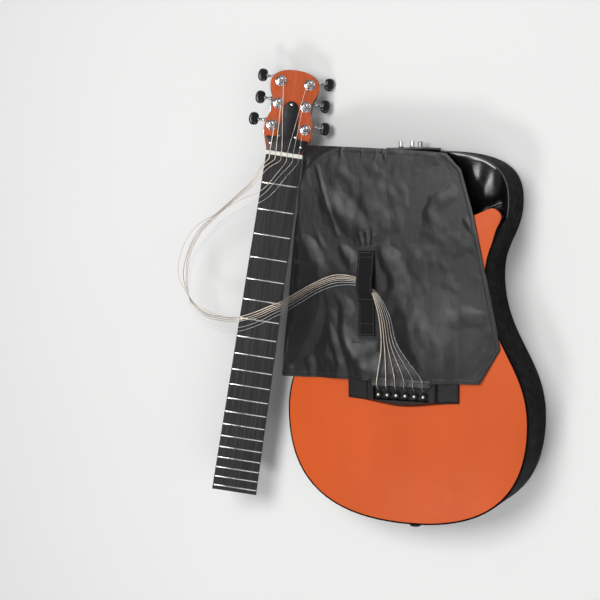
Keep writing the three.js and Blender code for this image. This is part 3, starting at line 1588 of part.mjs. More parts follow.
function stringPoints(i) {
  const r = stringGauges[i] / 2;
  const deck = bridgeBase + blockHeight;
  const atPin = [
    [pinXs[i], pinHeadRadius + r + gap * 2, pinCollar + pinHeadRadius / 2 + r],
    [pinXs[i], saddleY - saddleThickness, deck + saddleRise + r],
    [pinXs[i], saddleY, deck + saddleRise + gap * 4 + r],
    [pinXs[i], saddleY + saddleThickness * 2, deck + saddleRise + gap * 2 + r],
  ].map((p) => new THREE.Vector3(...p));
  const bundle = stringRoute.map((_, j) => bundlePoint(i, j)).reverse();
  const slotX = (stringPlaceShares[i] * stringSpreadAtNut) / 2;
  const { side, row } = stringPosts[i];
  const inner = side * (postRowsX[row] - postWaistRadius - r - gap);
  const slotZ = nutRise - nutSlotDepth + gap + r;
  const headZ = postHeight - postWaistHeight - nutHexHeight / 2;
  const atNut = [
    new THREE.Vector3(slotX, -nutDepth, slotZ + gap * 2),
    new THREE.Vector3(slotX, 0, slotZ),
    new THREE.Vector3(slotX, nutDepth + gap * 2, slotZ),
    new THREE.Vector3(
      THREE.MathUtils.lerp(slotX, inner, headSpanShares[0]),
      postRowsY[row] * headSpanShares[0],
      headZ * headSpanShares[1],
    ).applyMatrix4(headstock.matrix),
    new THREE.Vector3(inner, postRowsY[row], headZ).applyMatrix4(headstock.matrix),
  ].map((p) => neck.localToWorld(p));
  return [...atPin, ...bundle, ...atNut];
}

// A route through points, read out with finer steps where the points lie close together
class CordRoute extends THREE.Curve {
  constructor(points) {
    super();
    this.line = new THREE.CatmullRomCurve3(points, false, 'centripetal');
    this.stops = [];
    const spans = points.length - 1;
    for (let i = 0; i < spans; i += 1) {
      const pieces = Math.ceil(points[i].distanceTo(points[i + 1]) / stringStep);
      for (let k = 0; k < pieces; k += 1) this.stops.push((i + k / pieces) / spans);
    }
    this.stops.push(1);
  }

  getPoint(t, target) {
    const place = t * (this.stops.length - 1);
    const k = Math.min(Math.floor(place), this.stops.length - 2);
    return this.line.getPoint(THREE.MathUtils.lerp(this.stops[k], this.stops[k + 1], place - k), target);
  }

  getPointAt(u, target) {
    return this.getPoint(u, target);
  }

  getTangentAt(u, target) {
    return this.getTangent(u, target);
  }
}

function cord(points, radius, sides) {
  const route = new CordRoute(points);
  const section = new THREE.Shape();
  section.absarc(0, 0, radius, 0, Math.PI * 2);
  return new THREE.ExtrudeGeometry(section, {
    steps: route.stops.length - 1,
    extrudePath: route,
    curveSegments: sides / 2,
    bevelEnabled: false,
  });
}

function stringSolid(i) {
  return cord(stringPoints(i), stringGauges[i] / 2, stringSides);
}

const cordNames = stringGauges.map((_, i) => `string_${i + 1}`);
cordNames.forEach((name, i) => {
  const wound = i <= liftedString;
  place(assembly, name, stringSolid(i), wound ? finishes.bronze() : finishes.plainSteel());
});

// Origin under the middle of everything but the strings
const rigid = new THREE.Box3();
assembly.updateMatrixWorld(true);
assembly.traverse((o) => {
  if (o.isMesh && !cordNames.includes(o.name)) rigid.expandByObject(o, true);
});
const centre = rigid.getCenter(new THREE.Vector3());
assembly.position.set(-centre.x, -centre.y, -rigid.min.z);

// Every mesh keeps one bare, welded solid
assembly.traverse((o) => {
  if (o.isMesh) o.geometry = tidySolid(o.geometry);
});

export default assembly;
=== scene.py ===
import math

import bmesh
import bpy
import numpy as np
from mathutils import Matrix, Vector, noise


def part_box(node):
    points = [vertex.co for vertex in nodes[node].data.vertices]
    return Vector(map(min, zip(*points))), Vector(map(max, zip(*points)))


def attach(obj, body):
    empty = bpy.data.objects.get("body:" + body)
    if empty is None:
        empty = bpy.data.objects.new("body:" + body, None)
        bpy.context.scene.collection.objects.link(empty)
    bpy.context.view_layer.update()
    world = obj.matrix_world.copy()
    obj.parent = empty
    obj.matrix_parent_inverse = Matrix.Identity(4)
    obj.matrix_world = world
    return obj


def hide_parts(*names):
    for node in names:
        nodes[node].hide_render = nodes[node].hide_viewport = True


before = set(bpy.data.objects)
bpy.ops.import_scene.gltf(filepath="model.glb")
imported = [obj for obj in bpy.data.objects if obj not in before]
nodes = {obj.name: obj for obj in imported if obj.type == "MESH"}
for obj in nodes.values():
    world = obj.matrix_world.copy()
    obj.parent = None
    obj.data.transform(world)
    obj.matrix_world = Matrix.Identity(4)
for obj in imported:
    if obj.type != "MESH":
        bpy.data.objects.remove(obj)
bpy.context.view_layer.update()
scene = bpy.context.scene
scene.view_settings.view_transform = "Standard"

# Frames: the body's begins midway between the outer pins, the neck's at the nut, the headstock's behind it
first_pin, last_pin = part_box("bridge_pin_1"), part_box("bridge_pin_6")
STAGE = Vector(((first_pin[0].x + last_pin[1].x) / 2, (first_pin[0].y + first_pin[1].y) / 2, 0))
MM = Matrix.Scale(0.001, 4)
NECK_NUT = (-162.7, 284.8, 61.517)
NECK_PITCH, NECK_ROLL, NECK_YAW = -0.0321, 25.0, -10.2
HEAD_START = (0, 5.6, -2.8)
HEAD_PITCH = -12.0


def turn(degrees, axis):
    return Matrix.Rotation(math.radians(degrees), 4, axis)


def shift(x, y, z):
    return Matrix.Translation((x, y, z))


BODY = Matrix.Translation(STAGE) @ MM
NECK = BODY @ shift(*NECK_NUT) @ turn(NECK_YAW, "Z") @ turn(NECK_PITCH, "X") @ turn(NECK_ROLL, "Y")
HEAD = NECK @ shift(*HEAD_START) @ turn(HEAD_PITCH, "X")
STAGE_TO_NECK = BODY.inverted() @ NECK
STAGE_TO_HEAD = BODY.inverted() @ HEAD

# Camera, fitted: its own axes, and its place from the pins
CAMERA_RIGHT = Vector((0.89913, -0.00996, -0.43757))
CAMERA_UP = Vector((-0.02922, 0.99614, -0.08271))
CAMERA_AHEAD = Vector((-0.43670, -0.08716, -0.89537))
CAMERA_SPOT = STAGE + Vector((0.606316, 0.257346, 1.597136))
SENSOR_WIDTH, LENS = 36, 83.076
camera = bpy.data.objects.new("camera", bpy.data.cameras.new("camera"))
scene.collection.objects.link(camera)
rows = [(CAMERA_RIGHT[i], CAMERA_UP[i], -CAMERA_AHEAD[i], CAMERA_SPOT[i]) for i in range(3)]
camera.matrix_world = Matrix([*rows, (0, 0, 0, 1)])
camera.data.sensor_width = SENSOR_WIDTH
camera.data.lens = LENS
scene.camera = camera


# Materials
class Look:
    """A procedural finish: its colour, roughness and relief come from textures in object space."""

    def __init__(self, name, color, rough, metal=0.0, unit=1.0, **sockets):
        self.material = bpy.data.materials.new(name)
        self.material.use_nodes = True
        self.tree = self.material.node_tree
        self.shader = self.tree.nodes["Principled BSDF"]
        self.color = (*color, 1)
        values = {"Base Color": self.color, "Roughness": rough, "Metallic": metal}
        for key, value in sockets.items():
            values[key.replace("_", " ").title().replace("Ior", "IOR")] = value
        for socket, value in values.items():
            self.wire(value, self.shader, socket)
        self.unit = unit
        self.space = self.add("ShaderNodeTexCoord", "Object")
        self.relief = None

    def wire(self, source, node, socket):
        if isinstance(source, (int, float, tuple)):
            node.inputs[socket].default_value = source
        else:
            self.tree.links.new(source, node.inputs[socket])

    def add(self, kind, output, inputs=(), **settings):
        """An output of a new node; its inputs are values or other nodes' outputs."""
        node = self.tree.nodes.new(kind)
        for key, value in settings.items():
            setattr(node, key, value)
        for socket, source in dict(inputs).items():
            self.wire(source, node, socket)
        return node.outputs[output]

    def place(self, stretch=(1, 1, 1), rotate=(0, 0, 0), source=None):
        scale = tuple(s * self.unit for s in stretch)
        angles = tuple(math.radians(r) for r in rotate)
        inputs = {"Vector": source or self.space, "Scale": scale, "Rotation": angles}
        return self.add("ShaderNodeMapping", "Vector", inputs)

    def noise(self, size, detail=3, stretch=(1, 1, 1), rotate=(0, 0, 0), distortion=0):
        place = self.place(stretch, rotate)
        inputs = {"Vector": place, "Scale": 1 / size, "Detail": detail, "Distortion": distortion}
        return self.add("ShaderNodeTexNoise", "Fac", inputs)

    def wave(self, size, direction, source=None):
        inputs = {"Vector": source or self.place(), "Scale": math.pi / 10 / size}
        return self.add("ShaderNodeTexWave", "Fac", inputs, wave_type="BANDS", bands_direction=direction)

    def math(self, kind, a, b):
        return self.add("ShaderNodeMath", 0, {0: a, 1: b}, operation=kind)

    def span(self, source, low, high, to_low=0.0, to_high=1.0):
        inputs = {"Value": source, "From Min": low, "From Max": high, "To Min": to_low, "To Max": to_high}
        return self.add("ShaderNodeMapRange", "Result", inputs)

    def mix(self, share, a, b):
        a, b = ((*color, 1) if isinstance(color, tuple) else color for color in (a, b))
        return self.add("ShaderNodeMix", 2, {0: share, 6: a, 7: b}, data_type="RGBA")

    def paint(self, source):
        self.wire(source, self.shader, "Base Color")
        return self

    def vary(self, source, amount):
        """Colour that drifts lighter and darker by the share amount."""
        dark = tuple(c * (1 - amount) for c in self.color[:3])
        light = tuple(min(1, c * (1 + amount)) for c in self.color[:3])
        return self.paint(self.mix(self.span(source, 0.3, 0.7), dark, light))

    def rough_range(self, source, low, high):
        self.wire(self.span(source, 0.3, 0.7, low, high), self.shader, "Roughness")
        return self

    def bump(self, source, depth, strength):
        """Relief of that depth in millimetres."""
        inputs = {"Height": source, "Strength": strength, "Distance": depth / 1000}
        if self.relief:
            inputs["Normal"] = self.relief
        self.relief = self.add("ShaderNodeBump", "Normal", inputs)
        self.wire(self.relief, self.shader, "Normal")
        return self


# Finishes. Those of CAD solids and curves, whose object space is in metres, take IN_METRES as their unit
IN_METRES = 1000.0
STEEL_COLOR = (0.42, 0.43, 0.45)


def soundboard_look():
    k = Look("orange_lacquer", (0.635, 0.1, 0.02), 0.42, specular_ior_level=0.16)
    k.vary(k.noise(60, 3, (1, 0.35, 1)), 0.05)
    k.rough_range(k.noise(14, 4), 0.38, 0.46)
    return k.bump(k.noise(1.4, 2), 0.012, 0.5).bump(k.noise(25, 1), 0.05, 0.3).material


def black_look(name, rough, coat, base=0.006, gleam=0.5):
    tint = (base, base, base * 1.15)
    k = Look(name, tint, rough, coat_weight=coat, coat_roughness=0.06, specular_ior_level=gleam)
    k.vary(k.noise(30, 3), 0.3)
    k.rough_range(k.noise(9, 5), rough * 0.85, rough * 1.2)
    return k.bump(k.noise(1.1, 2), 0.008, 0.4).material


def bare_wood(name, light, dark, ring, unit=1.0):
    k = Look(name, light, 0.62, unit=unit)
    grain = k.noise(ring, 5, (1, 0.03, 1), distortion=0.6)
    pores = k.noise(ring * 0.25, 3, (1, 0.02, 1))
    k.paint(k.mix(k.span(grain, 0.35, 0.65), dark, light))
    return k.bump(pores, 0.06, 0.6).material


def stained_face():
    k = Look("orange_veneer", (0.45, 0.12, 0.055), 0.5, specular_ior_level=0.06)
    figure = k.noise(7, 4, (1, 0.09, 1), (0, 0, 4), distortion=1.2)
    pores = k.noise(0.7, 2, (1, 0.05, 1), (0, 0, 4))
    base = k.mix(k.span(figure, 0.35, 0.65), (0.49, 0.095, 0.032), (0.57, 0.122, 0.044))
    k.paint(k.mix(k.span(pores, 0.56, 0.7, 0, 0.35), base, (0.36, 0.066, 0.024)))
    return k.bump(pores, 0.03, 0.6).material


def fingerboard_look():
    k = Look("fingerboard", (0.02, 0.02, 0.021), 0.5, specular_ior_level=0.14)
    streak = k.noise(3.5, 4, (1, 0.04, 1), distortion=0.4)
    k.paint(k.mix(k.span(streak, 0.4, 0.7), (0.023, 0.023, 0.0235), (0.045, 0.044, 0.044)))
    k.rough_range(streak, 0.46, 0.56)
    return k.bump(k.noise(0.5, 2, (1, 0.06, 1)), 0.03, 0.5).material


def bone_look():
    k = Look("bone", (0.84, 0.8, 0.72), 0.38, subsurface_weight=0.05)
    k.vary(k.noise(3, 4, (0.4, 1, 1)), 0.06)
    return k.bump(k.noise(0.6, 3), 0.02, 0.4).material


def metal_look(name, color, rough, brushed=0.0, unit=1.0):
    k = Look(name, color, rough, 1.0, unit=unit)
    smudge = k.noise(5, 4)
    k.vary(smudge, 0.06)
    k.rough_range(smudge, rough * 0.75, rough * 1.4)
    lines = k.noise(0.25, 2, (1, 1, 0.06) if brushed else (1, 1, 1))
    return k.bump(lines, 0.01 + brushed * 0.02, 0.3).material


def nylon_look():
    k = Look("nylon_cloth", (0.0088, 0.0087, 0.0101), 0.33, sheen_weight=0.02, sheen_roughness=0.4,
             specular_ior_level=0.4)
    warp, weft = k.wave(0.5, "X"), k.wave(0.5, "Y")
    slub = k.noise(1.7, 3, (1, 0.06, 1))
    k.vary(k.math("ADD", k.math("MULTIPLY", slub, 0.7), k.math("MULTIPLY", k.noise(24, 3), 0.3)), 0.3)
    k.rough_range(k.noise(18, 3), 0.3, 0.38)
    k.bump(k.math("ADD", warp, weft), 0.05, 0.35)
    return k.bump(slub, 0.12, 0.5).bump(k.noise(7, 4, (1, 0.5, 1)), 0.45, 0.5).material


def webbing_look():
    k = Look("webbing", (0.011, 0.011, 0.012), 0.8, specular_ior_level=0.2)
    ribs, picks = k.wave(1.05, "X"), k.wave(0.75, "Y")
    twill = k.math("MULTIPLY", ribs, picks)
    # Painted shade and highlight: darker in the hollows of the twill relief, lighter on its crests
    k.paint(k.mix(twill, (0.006, 0.006, 0.007), (0.022, 0.022, 0.024)))
    return k.bump(ribs, 0.35, 0.7).bump(twill, 0.2, 0.6).material


def thread_look():
    k = Look("thread", (0.035, 0.035, 0.037), 0.6, sheen_weight=0.2)
    # Painted shade and highlight: the twist's grooves darker, its crests lighter, following the bump's wave
    k.vary(k.wave(0.3, "DIAGONAL"), 0.5)
    return k.bump(k.wave(0.3, "DIAGONAL"), 0.08, 0.6).material


def wound_look(name, color, pitch, length):
    """A wound string: the wraps run across the length, which the tube's own u follows."""
    k = Look(name, color, 0.3, 1.0)
    along = k.add("ShaderNodeTexCoord", "UV")
    stretch = k.place((length / pitch, 1, 1), source=along)
    wraps = k.wave(1.0, "X", source=stretch)
    # The darker bands are painted shade in the grooves between the turns; the same bands make the bump
    k.paint(k.mix(wraps, tuple(c * 0.72 for c in color), color))
    k.rough_range(k.noise(12, 3, (1000, 1000, 1000)), 0.28, 0.42)
    return k.bump(wraps, 0.04, 0.5).material


ORANGE = soundboard_look()
GLOSS = black_look("scoop_gloss", 0.24, 0.0, 0.004, 1.0)
SIDES = black_look("black_lacquer", 0.5, 0.0, 0.0022, 0.022)
BUTTON = black_look("button_black", 0.16, 0.6, 0.009)
NECK_BLACK = black_look("neck_black", 0.45, 0.0, 0.005, 0.08)
PLASTIC = black_look("black_plastic", 0.3, 0.1, 0.011)
COVER_PLATE = black_look("cover_plate", 0.32, 0.1, 0.008)
SPRUCE = bare_wood("spruce", (0.69, 0.49, 0.3), (0.55, 0.35, 0.18), 1.4, IN_METRES)
MAHOGANY = bare_wood("mahogany", (0.2, 0.07, 0.03), (0.11, 0.035, 0.015), 2.2, IN_METRES)
VENEER = stained_face()
EBONY = fingerboard_look()
BRIDGE_BLACK = black_look("bridge_black", 0.4, 0.0, 0.007, 0.3)
BONE = bone_look()
CHROME = metal_look("chrome", (0.66, 0.67, 0.69), 0.09)
NICKEL = metal_look("fret_nickel", (0.76, 0.75, 0.72), 0.2)
STEEL = metal_look("steel", STEEL_COLOR, 0.3, 1.0)
DARK_STEEL = metal_look("blackened_steel", (0.05, 0.05, 0.052), 0.35, 1.0)
NYLON = nylon_look()
WEBBING = webbing_look()
THREAD = thread_look()


# Mesh helpers
def piece(name, verts, faces, material, where=BODY, body="guitar", slot=None, stands_for=(), sharp=35):
    """One named piece from points in its own frame, smooth except at edges sharper than that angle."""
    mesh = bpy.data.meshes.new(name)
    mesh.from_pydata([tuple(v) for v in verts], [], [tuple(int(i) for i in f) for f in faces])
    shape = bmesh.new()
    shape.from_mesh(mesh)
    bmesh.ops.remove_doubles(shape, verts=shape.verts, dist=1e-4)
    bmesh.ops.recalc_face_normals(shape, faces=shape.faces)
    shape.to_mesh(mesh)
    shape.free()
    mesh.shade_smooth()
    mesh.set_sharp_from_angle(angle=math.radians(sharp))
    mesh.materials.append(material)
    thing = bpy.data.objects.new(name, mesh)
    scene.collection.objects.link(thing)
    thing.matrix_world = where
    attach(thing, body)
    if stands_for:
        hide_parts(*([stands_for] if isinstance(stands_for, str) else stands_for))
    return thing


def merged(parts):
    """Several (verts, faces) as one."""
    verts, faces = [], []
    for v, f in parts:
        start = len(verts)
        verts += [tuple(p) for p in v]
        faces += [tuple(i + start for i in face) for face in f]
    return verts, faces


def loft(rings, closed=False):
    """Rings of equal length joined by quads. closed joins the last ring to the first."""
    rings = np.asarray(rings, float)
    count, n = rings.shape[:2]
    faces = []
    for r in range(count if closed else count - 1):
        s = (r + 1) % count
        for i in range(n):
            j = (i + 1) % n
            faces.append((r * n + i, r * n + j, s * n + j, s * n + i))
    if not closed:
        faces.append(tuple(range(n)))
        faces.append(tuple((count - 1) * n + i for i in range(n)))
    return rings.reshape(-1, 3), faces


def moved(solid, matrix):
    """A solid, given as points and faces, carried by a matrix."""
    verts, faces = solid
    return [matrix @ Vector(v) for v in verts], faces


def lathe(profile, sides):
    """Rings about the Z axis from (radius, height) pairs."""
    angles = np.arange(sides) * 2 * math.pi / sides
    return [[(max(r, 1e-3) * math.cos(a), max(r, 1e-3) * math.sin(a), z) for a in angles] for r, z in profile]


def turned(profile, sides, matrix=None):
    """A solid turned about the Z axis from (radius, height) pairs."""
    solid = loft(lathe(profile, sides))
    return moved(solid, matrix) if matrix else solid


def unit(rows):
    """Vectors brought to length one."""
    return rows / np.linalg.norm(rows, axis=-1, keepdims=True)


def distances(line):
    """How far along a line each of its points lies."""
    return np.r_[0, np.cumsum(np.linalg.norm(np.diff(line, axis=0), axis=1))]


def at_distance(line, run, far):
    return np.array([np.interp(far, run, line[:, k]) for k in range(3)])


def rounded(points, radius, steps=4):
    """A profile whose inner corners are rounded by that radius."""
    out = [points[0]]
    for before, at, after in zip(points, points[1:], points[2:]):
        a, b, c = (np.array(p, float) for p in (before, at, after))
        la, lc = np.linalg.norm(a - b), np.linalg.norm(c - b)
        reach = min(radius, la * 0.45, lc * 0.45)
        start, end = b + (a - b) / la * reach, b + (c - b) / lc * reach
        for k in range(steps + 1):
            t = k / steps
            out.append(tuple((1 - t) ** 2 * start + 2 * t * (1 - t) * b + t * t * end))
    return out + [points[-1]]


def offset(loop, distance):
    """A closed loop moved to its left by a distance, which is inwards for a loop that runs anticlockwise."""
    loop = np.asarray(loop, float)
    step = np.roll(loop, -1, 0) - loop
    step /= np.maximum(np.linalg.norm(step, axis=1, keepdims=True), 1e-9)
    normal = np.c_[-step[:, 1], step[:, 0]]
    mean = normal + np.roll(normal, 1, 0)
    size = np.maximum((mean**2).sum(1, keepdims=True) / 2, 0.5)
    return loop + mean / size * distance


def quarter(radius, steps):
    """A quarter round as (inset, height) pairs."""
    angles = np.linspace(0, math.pi / 2, steps + 1)
    return [(radius * (1 - math.sin(a)), radius * (1 - math.cos(a))) for a in angles]


def plate(loops, low, high, edge):
    """A flat plate: the first loop runs anticlockwise, holes run clockwise. Its edges are rounded by edge."""
    shape = bmesh.new()
    arc = quarter(edge, 3)
    levels = [(low + up, inset) for inset, up in arc] + [(high - up, inset) for inset, up in reversed(arc)]
    rims = {low: [], high: []}
    for loop in loops:
        rings = []
        for z, inset in levels:
            rings.append([shape.verts.new((x, y, z)) for x, y in offset(loop, inset)])
        for a, b in zip(rings, rings[1:]):
            for i in range(len(a)):
                j = (i + 1) % len(a)
                shape.faces.new((a[i], a[j], b[j], b[i]))
        rims[low].append(rings[0])
        rims[high].append(rings[-1])
    for rings in rims.values():
        edges = []
        for ring in rings:
            for i, v in enumerate(ring):
                w = ring[(i + 1) % len(ring)]
                edges.append(shape.edges.get((v, w)) or shape.edges.new((v, w)))
        bmesh.ops.triangle_fill(shape, use_beauty=True, use_dissolve=False, edges=edges)
    shape.verts.index_update()
    verts = [v.co.copy() for v in shape.verts]
    faces = [[v.index for v in f.verts] for f in shape.faces]
    shape.free()
    return verts, faces


def circle(x, y, radius, sides):
    """A clockwise loop, for a hole."""
    angles = [-k * 2 * math.pi / sides for k in range(sides)]
    return [(x + radius * math.cos(a), y + radius * math.sin(a)) for a in angles]


def box_solid(x0, x1, y0, y1, z0, z1, edge):
    return plate([[(x0, y0), (x1, y0), (x1, y1), (x0, y1)]], z0, z1, edge)


def smooth(t):
    t = np.clip(t, 0, 1)
    return t * t * (3 - 2 * t)


def lerp(a, b, t):
    return a + (b - a) * t


def bezier(a, b, c, d, steps):
    t = np.linspace(0, 1, steps + 1)[:, None]
    a, b, c, d = (np.array(p, float) for p in (a, b, c, d))
    return (1 - t) ** 3 * a + 3 * (1 - t) ** 2 * t * b + 3 * (1 - t) * t * t * c + t**3 * d


def between(t, t0, t1, a, b):
    return (t1 - t) / (t1 - t0) * a + (t - t0) / (t1 - t0) * b


def catmull(points, spacing):
    """A line through the points, about a spacing apart, eased like the solids' centripetal routes."""
    p = np.asarray(points, float)
    p = np.vstack([2 * p[0] - p[1], p, 2 * p[-1] - p[-2]])
    out = []
    for i in range(1, len(p) - 2):
        knots = [0.0]
        for a, b in zip(p[i - 1 : i + 2], p[i : i + 3]):
            knots.append(knots[-1] + max(np.linalg.norm(b - a), 1e-6) ** 0.5)
        t0, t1, t2, t3 = knots
        count = max(2, int(np.linalg.norm(p[i + 1] - p[i]) / spacing))
        for k in range(count):
            t = lerp(t1, t2, k / count)
            a1 = between(t, t0, t1, p[i - 1], p[i])
            a2 = between(t, t1, t2, p[i], p[i + 1])
            a3 = between(t, t2, t3, p[i + 1], p[i + 2])
            out.append(between(t, t1, t2, between(t, t0, t2, a1, a2), between(t, t1, t3, a2, a3)))
    return np.array(out + [p[-2]])


# Sizes that several pieces share: clearance, soundboard, bridge, saddle, pins, nut and posts
GAP = 0.3
TOP, BOARD_THICK = 75.0, 3.0
BRIDGE_BASE = TOP + GAP
BRIDGE_HIGH, WING_HIGH = 9.5, 4.5
DECK = BRIDGE_BASE + BRIDGE_HIGH
SADDLE_TOP, SADDLE_Y = DECK + 3, 12.5
PIN_COLLAR = BRIDGE_BASE + WING_HIGH + GAP
PIN_SPREAD, SLOT_SPREAD = 28.5, 18
NUT_HIGH, SLOT_DEEP = 1.6, 1.2
POST_Y, POST_X = [87, 59, 31], [18, 17, 21]
NECK_POSTS = [(side, row) for side in (-1, 1) for row in range(3)]

# Strings, from string_1 to string_6: gauge, place across bridge and nut, and the side and row of the post
GAUGES = [1.35, 1.07, 0.81, 0.61, 0.43, 0.36]
PLACES = [-1, -0.6, -0.2, 0.2, 0.6, 1]
POSTS = [(-1, 2), (-1, 1), (-1, 0), (1, 0), (1, 1), (1, 2)]
WOUND_STRINGS, WRAP_SHARE = 4, 0.24
STRING_SPACING = 5.0
WIND_HIGH, WIND_RADIUS, WIND_ROOM = 9.1, 2.6, 4.6
STRAY = 3
# Stops of the loose bundle, from the nut to the bridge: x, y, z, the turn of the row of strings in degrees,
# each string's place in that row, and how much higher string_4 runs
ROUTE = [
    (-172.9, 267.3, 68.4, -22, (-16, -12.5, -8, 4.5, 9, 16), 0),
    (-188, 245.9, 75.2, -18, (-15, -13, -10, 2, 7, 14), 0),
    (-215.3, 227.4, 74.6, -8, (-12, -10.5, -8.6, -5, 5.2, 9), 1),
    (-248.3, 209.7, 69, 0, (-8, -6.5, -5, -6.6, 4, 7.5), 3),
    (-279.3, 185.9, 64, 0, (-8.5, -6, -4.2, -14.5, 5.5, 8.5), 1.5),
    (-302.2, 159.8, 60, 0, (-3, -0.6, 1.6, -12.4, 5.5, 9), 0),
    (-310, 135.1, 58, 8, (-2, 2.6, 4.8, -10.5, 7.3, 10.4), 0),
    (-306.7, 114.4, 57, 45, (-3.5, -0.5, 2.2, -8.5, 5, 8), 0),
    (-299.7, 98.5, 57, 92, (-3, -1, 1, -5, 2.8, 4.5), 0),
    (-282.3, 83.6, 59, 140, (-4.5, -2.5, 0, -8, 4, 8), 0),
    (-255.8, 75.9, 66, 175, (-8, -5.5, -3, -9.8, 4, 9), 1),
    (-222.8, 76.4, 76.5, 180, (-8.5, -5.5, -3.2, -5.8, 4.5, 9), 3.2),
    (-199.6, 83.9, 67, 180, (-8, -5, -2.6, 0, 4.5, 8.5), 1.5),
    (-183.3, 92, 60.5, 180, (-7, -4.5, -2.3, 0.2, 3.6, 7.5), 0),
    (-170.5, 97.6, 57.5, 180, (-6.5, -4, -2, 0.2, 3.2, 7), 0),
    (-139.5, 111.6, 72.5, 180, (-6.5, -4, -2, 0.2, 3, 6.5), 0),
    (-111, 125.9, 79.6, 180, (-6, -3.8, -1.8, 0.2, 2.8, 6), 0),
    (-86.4, 134.7, 80, 180, (-6.5, -3.8, -1.8, 0.2, 2.8, 6.3), 0),
    (-66.1, 135.2, 80.5, 183, (-5.6, -3.5, -1.7, 0.2, 2.4, 5.2), 0),
    (-56.8, 133.7, 81, 195, (-5, -3.1, -1.5, 0.1, 2, 4.6), 0),
    (-46.2, 130.4, 80.8, 235, (-3.8, -2.2, -0.8, 0.5, 1.8, 3.1), 0),
    (-37.3, 124.6, 80.4, 280, (-3.7, -2.1, -0.7, 0.6, 1.8, 3), 0),
    (-29.4, 111.6, 80.5, 325, (-4.4, -2.6, -0.9, 0.8, 2.4, 4), 0),
    (-22.2, 91.4, 79.5, 352, (-6.8, -4, -1.4, 1.4, 4, 6.6), 0),
    (-16.4, 59.4, 80.5, 360, (-10, -6, -2, 2, 6, 10), 0),
]


def bundle_point(i, j):
    """Where string i passes stop j of the bundle."""
    x, y, z, twist, places, lift = ROUTE[j]
    before, after = ROUTE[max(0, j - 1)], ROUTE[min(len(ROUTE) - 1, j + 1)]
    along = unit(np.array([after[0] - before[0], after[1] - before[1]]))
    across = places[i] * math.cos(math.radians(twist))
    rise = places[i] * math.sin(math.radians(twist)) + (lift if i == STRAY else 0)
    return (x - along[1] * across, y + along[0] * across, z + rise)


def string_points(i):
    """A string's route in the body's frame: pin, saddle, bundle, nut and post."""
    r, x = GAUGES[i] / 2, PLACES[i] * PIN_SPREAD
    at_pin = [
        (x, 3.9 + r + 0.6, PIN_COLLAR + 1.95 + r),
        (x, SADDLE_Y - 3, SADDLE_TOP + r),
        (x, SADDLE_Y, SADDLE_TOP + 1.2 + r),
        (x, SADDLE_Y + 6, SADDLE_TOP + 0.6 + r),
    ]
    bundle = [bundle_point(i, j) for j in reversed(range(len(ROUTE)))]
    slot_x, slot_z = PLACES[i] * SLOT_SPREAD, NUT_HIGH - SLOT_DEEP + GAP + r
    side, row = POSTS[i]
    inner = side * (POST_X[row] - 2.5 - r - GAP)
    at_nut = [(slot_x, -5, slot_z + 0.6), (slot_x, 0, slot_z), (slot_x, 5.6, slot_z)]
    at_post = [(lerp(slot_x, inner, 0.5), POST_Y[row] / 2, WIND_HIGH * 0.6), (inner, POST_Y[row], WIND_HIGH)]
    route = at_pin + bundle
    route += [tuple(STAGE_TO_NECK @ Vector(p)) for p in at_nut]
    route += [tuple(STAGE_TO_HEAD @ Vector(p)) for p in at_post]
    return route


def winding(i):
    """The turns of a string round its post, in the headstock's frame."""
    side, row = POSTS[i]
    r = GAUGES[i] / 2
    turns, radius = (2.5 if i < 3 else 3.5), WIND_RADIUS + r
    start = math.pi if side > 0 else 0
    pitch = min(2 * r * 1.12, WIND_ROOM / (turns + 1))
    count = int(turns * 20)
    centre = np.array([side * POST_X[row], POST_Y[row], 0.0])
    line, rings = [], []
    for k in range(count + 1):
        a = start - side * 2 * math.pi * turns * k / count
        high = WIND_HIGH - pitch * turns * k / count
        line.append(centre + (radius * math.cos(a), radius * math.sin(a), high))
    for k, p in enumerate(line):
        ahead = unit(line[min(k + 1, count)] - line[max(k - 1, 0)])
        out = unit((p - centre) * (1, 1, 0))
        lift = np.cross(ahead, out)
        rings.append([p + r * (math.cos(b) * out + math.sin(b) * lift) for b in np.arange(8) * math.pi / 4])
    return loft(rings)


def post_name(side, row):
    return f"{'bass' if side < 0 else 'treble'}_{row + 1}"


BRONZE = (0.84, 0.74, 0.63)
SILVER = (0.78, 0.78, 0.79)
for i, gauge in enumerate(GAUGES):
    line = [BODY @ Vector(p) for p in catmull(string_points(i), STRING_SPACING)]
    length = sum((b - a).length for a, b in zip(line, line[1:]))
    curve = bpy.data.curves.new(f"string_wire_{i + 1}", "CURVE")
    curve.dimensions = "3D"
    spline = curve.splines.new("POLY")
    spline.points.add(len(line) - 1)
    for point, p in zip(spline.points, line):
        point.co = (*p, 1)
        point.radius = 1
    curve.bevel_depth = gauge / 2000
    curve.bevel_resolution = 3
    curve.use_fill_caps = True
    wire = bpy.data.objects.new(f"string_wire_{i + 1}", curve)
    scene.collection.objects.link(wire)
    wound = i < WOUND_STRINGS
    if wound:
        metal = wound_look(f"wound_{i + 1}", BRONZE, gauge * WRAP_SHARE, length * 1000)
    else:
        metal = metal_look(f"plain_{i + 1}", SILVER, 0.42, unit=IN_METRES)
    curve.materials.append(metal)
    slot = "string_bronze" if wound else "string_steel"
    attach(wire, "guitar")
    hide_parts(f"string_{i + 1}")
    post = f"tuner_post_{post_name(*POSTS[i])}"
    turns = piece(f"string_turns_{i + 1}", *winding(i), metal, HEAD, post, slot)

# Body outline: the right half from the tail to the neck's end
TAIL_Y, NECK_END = -157.0, 290.0
LOWER_BOUT, WAIST, UPPER_BOUT = (153.5, -28), (102.5, 142), (125, 230)
SPANS = [
    ((0, TAIL_Y), LOWER_BOUT, 0.67, 0.67, "round"),
    (LOWER_BOUT, WAIST, 0.42, 0.45, "side"),
    (WAIST, UPPER_BOUT, 0.45, 0.45, "side"),
    (UPPER_BOUT, (0, NECK_END), 0.75, 0.75, "shoulder"),
]
SPAN_STEPS = 26


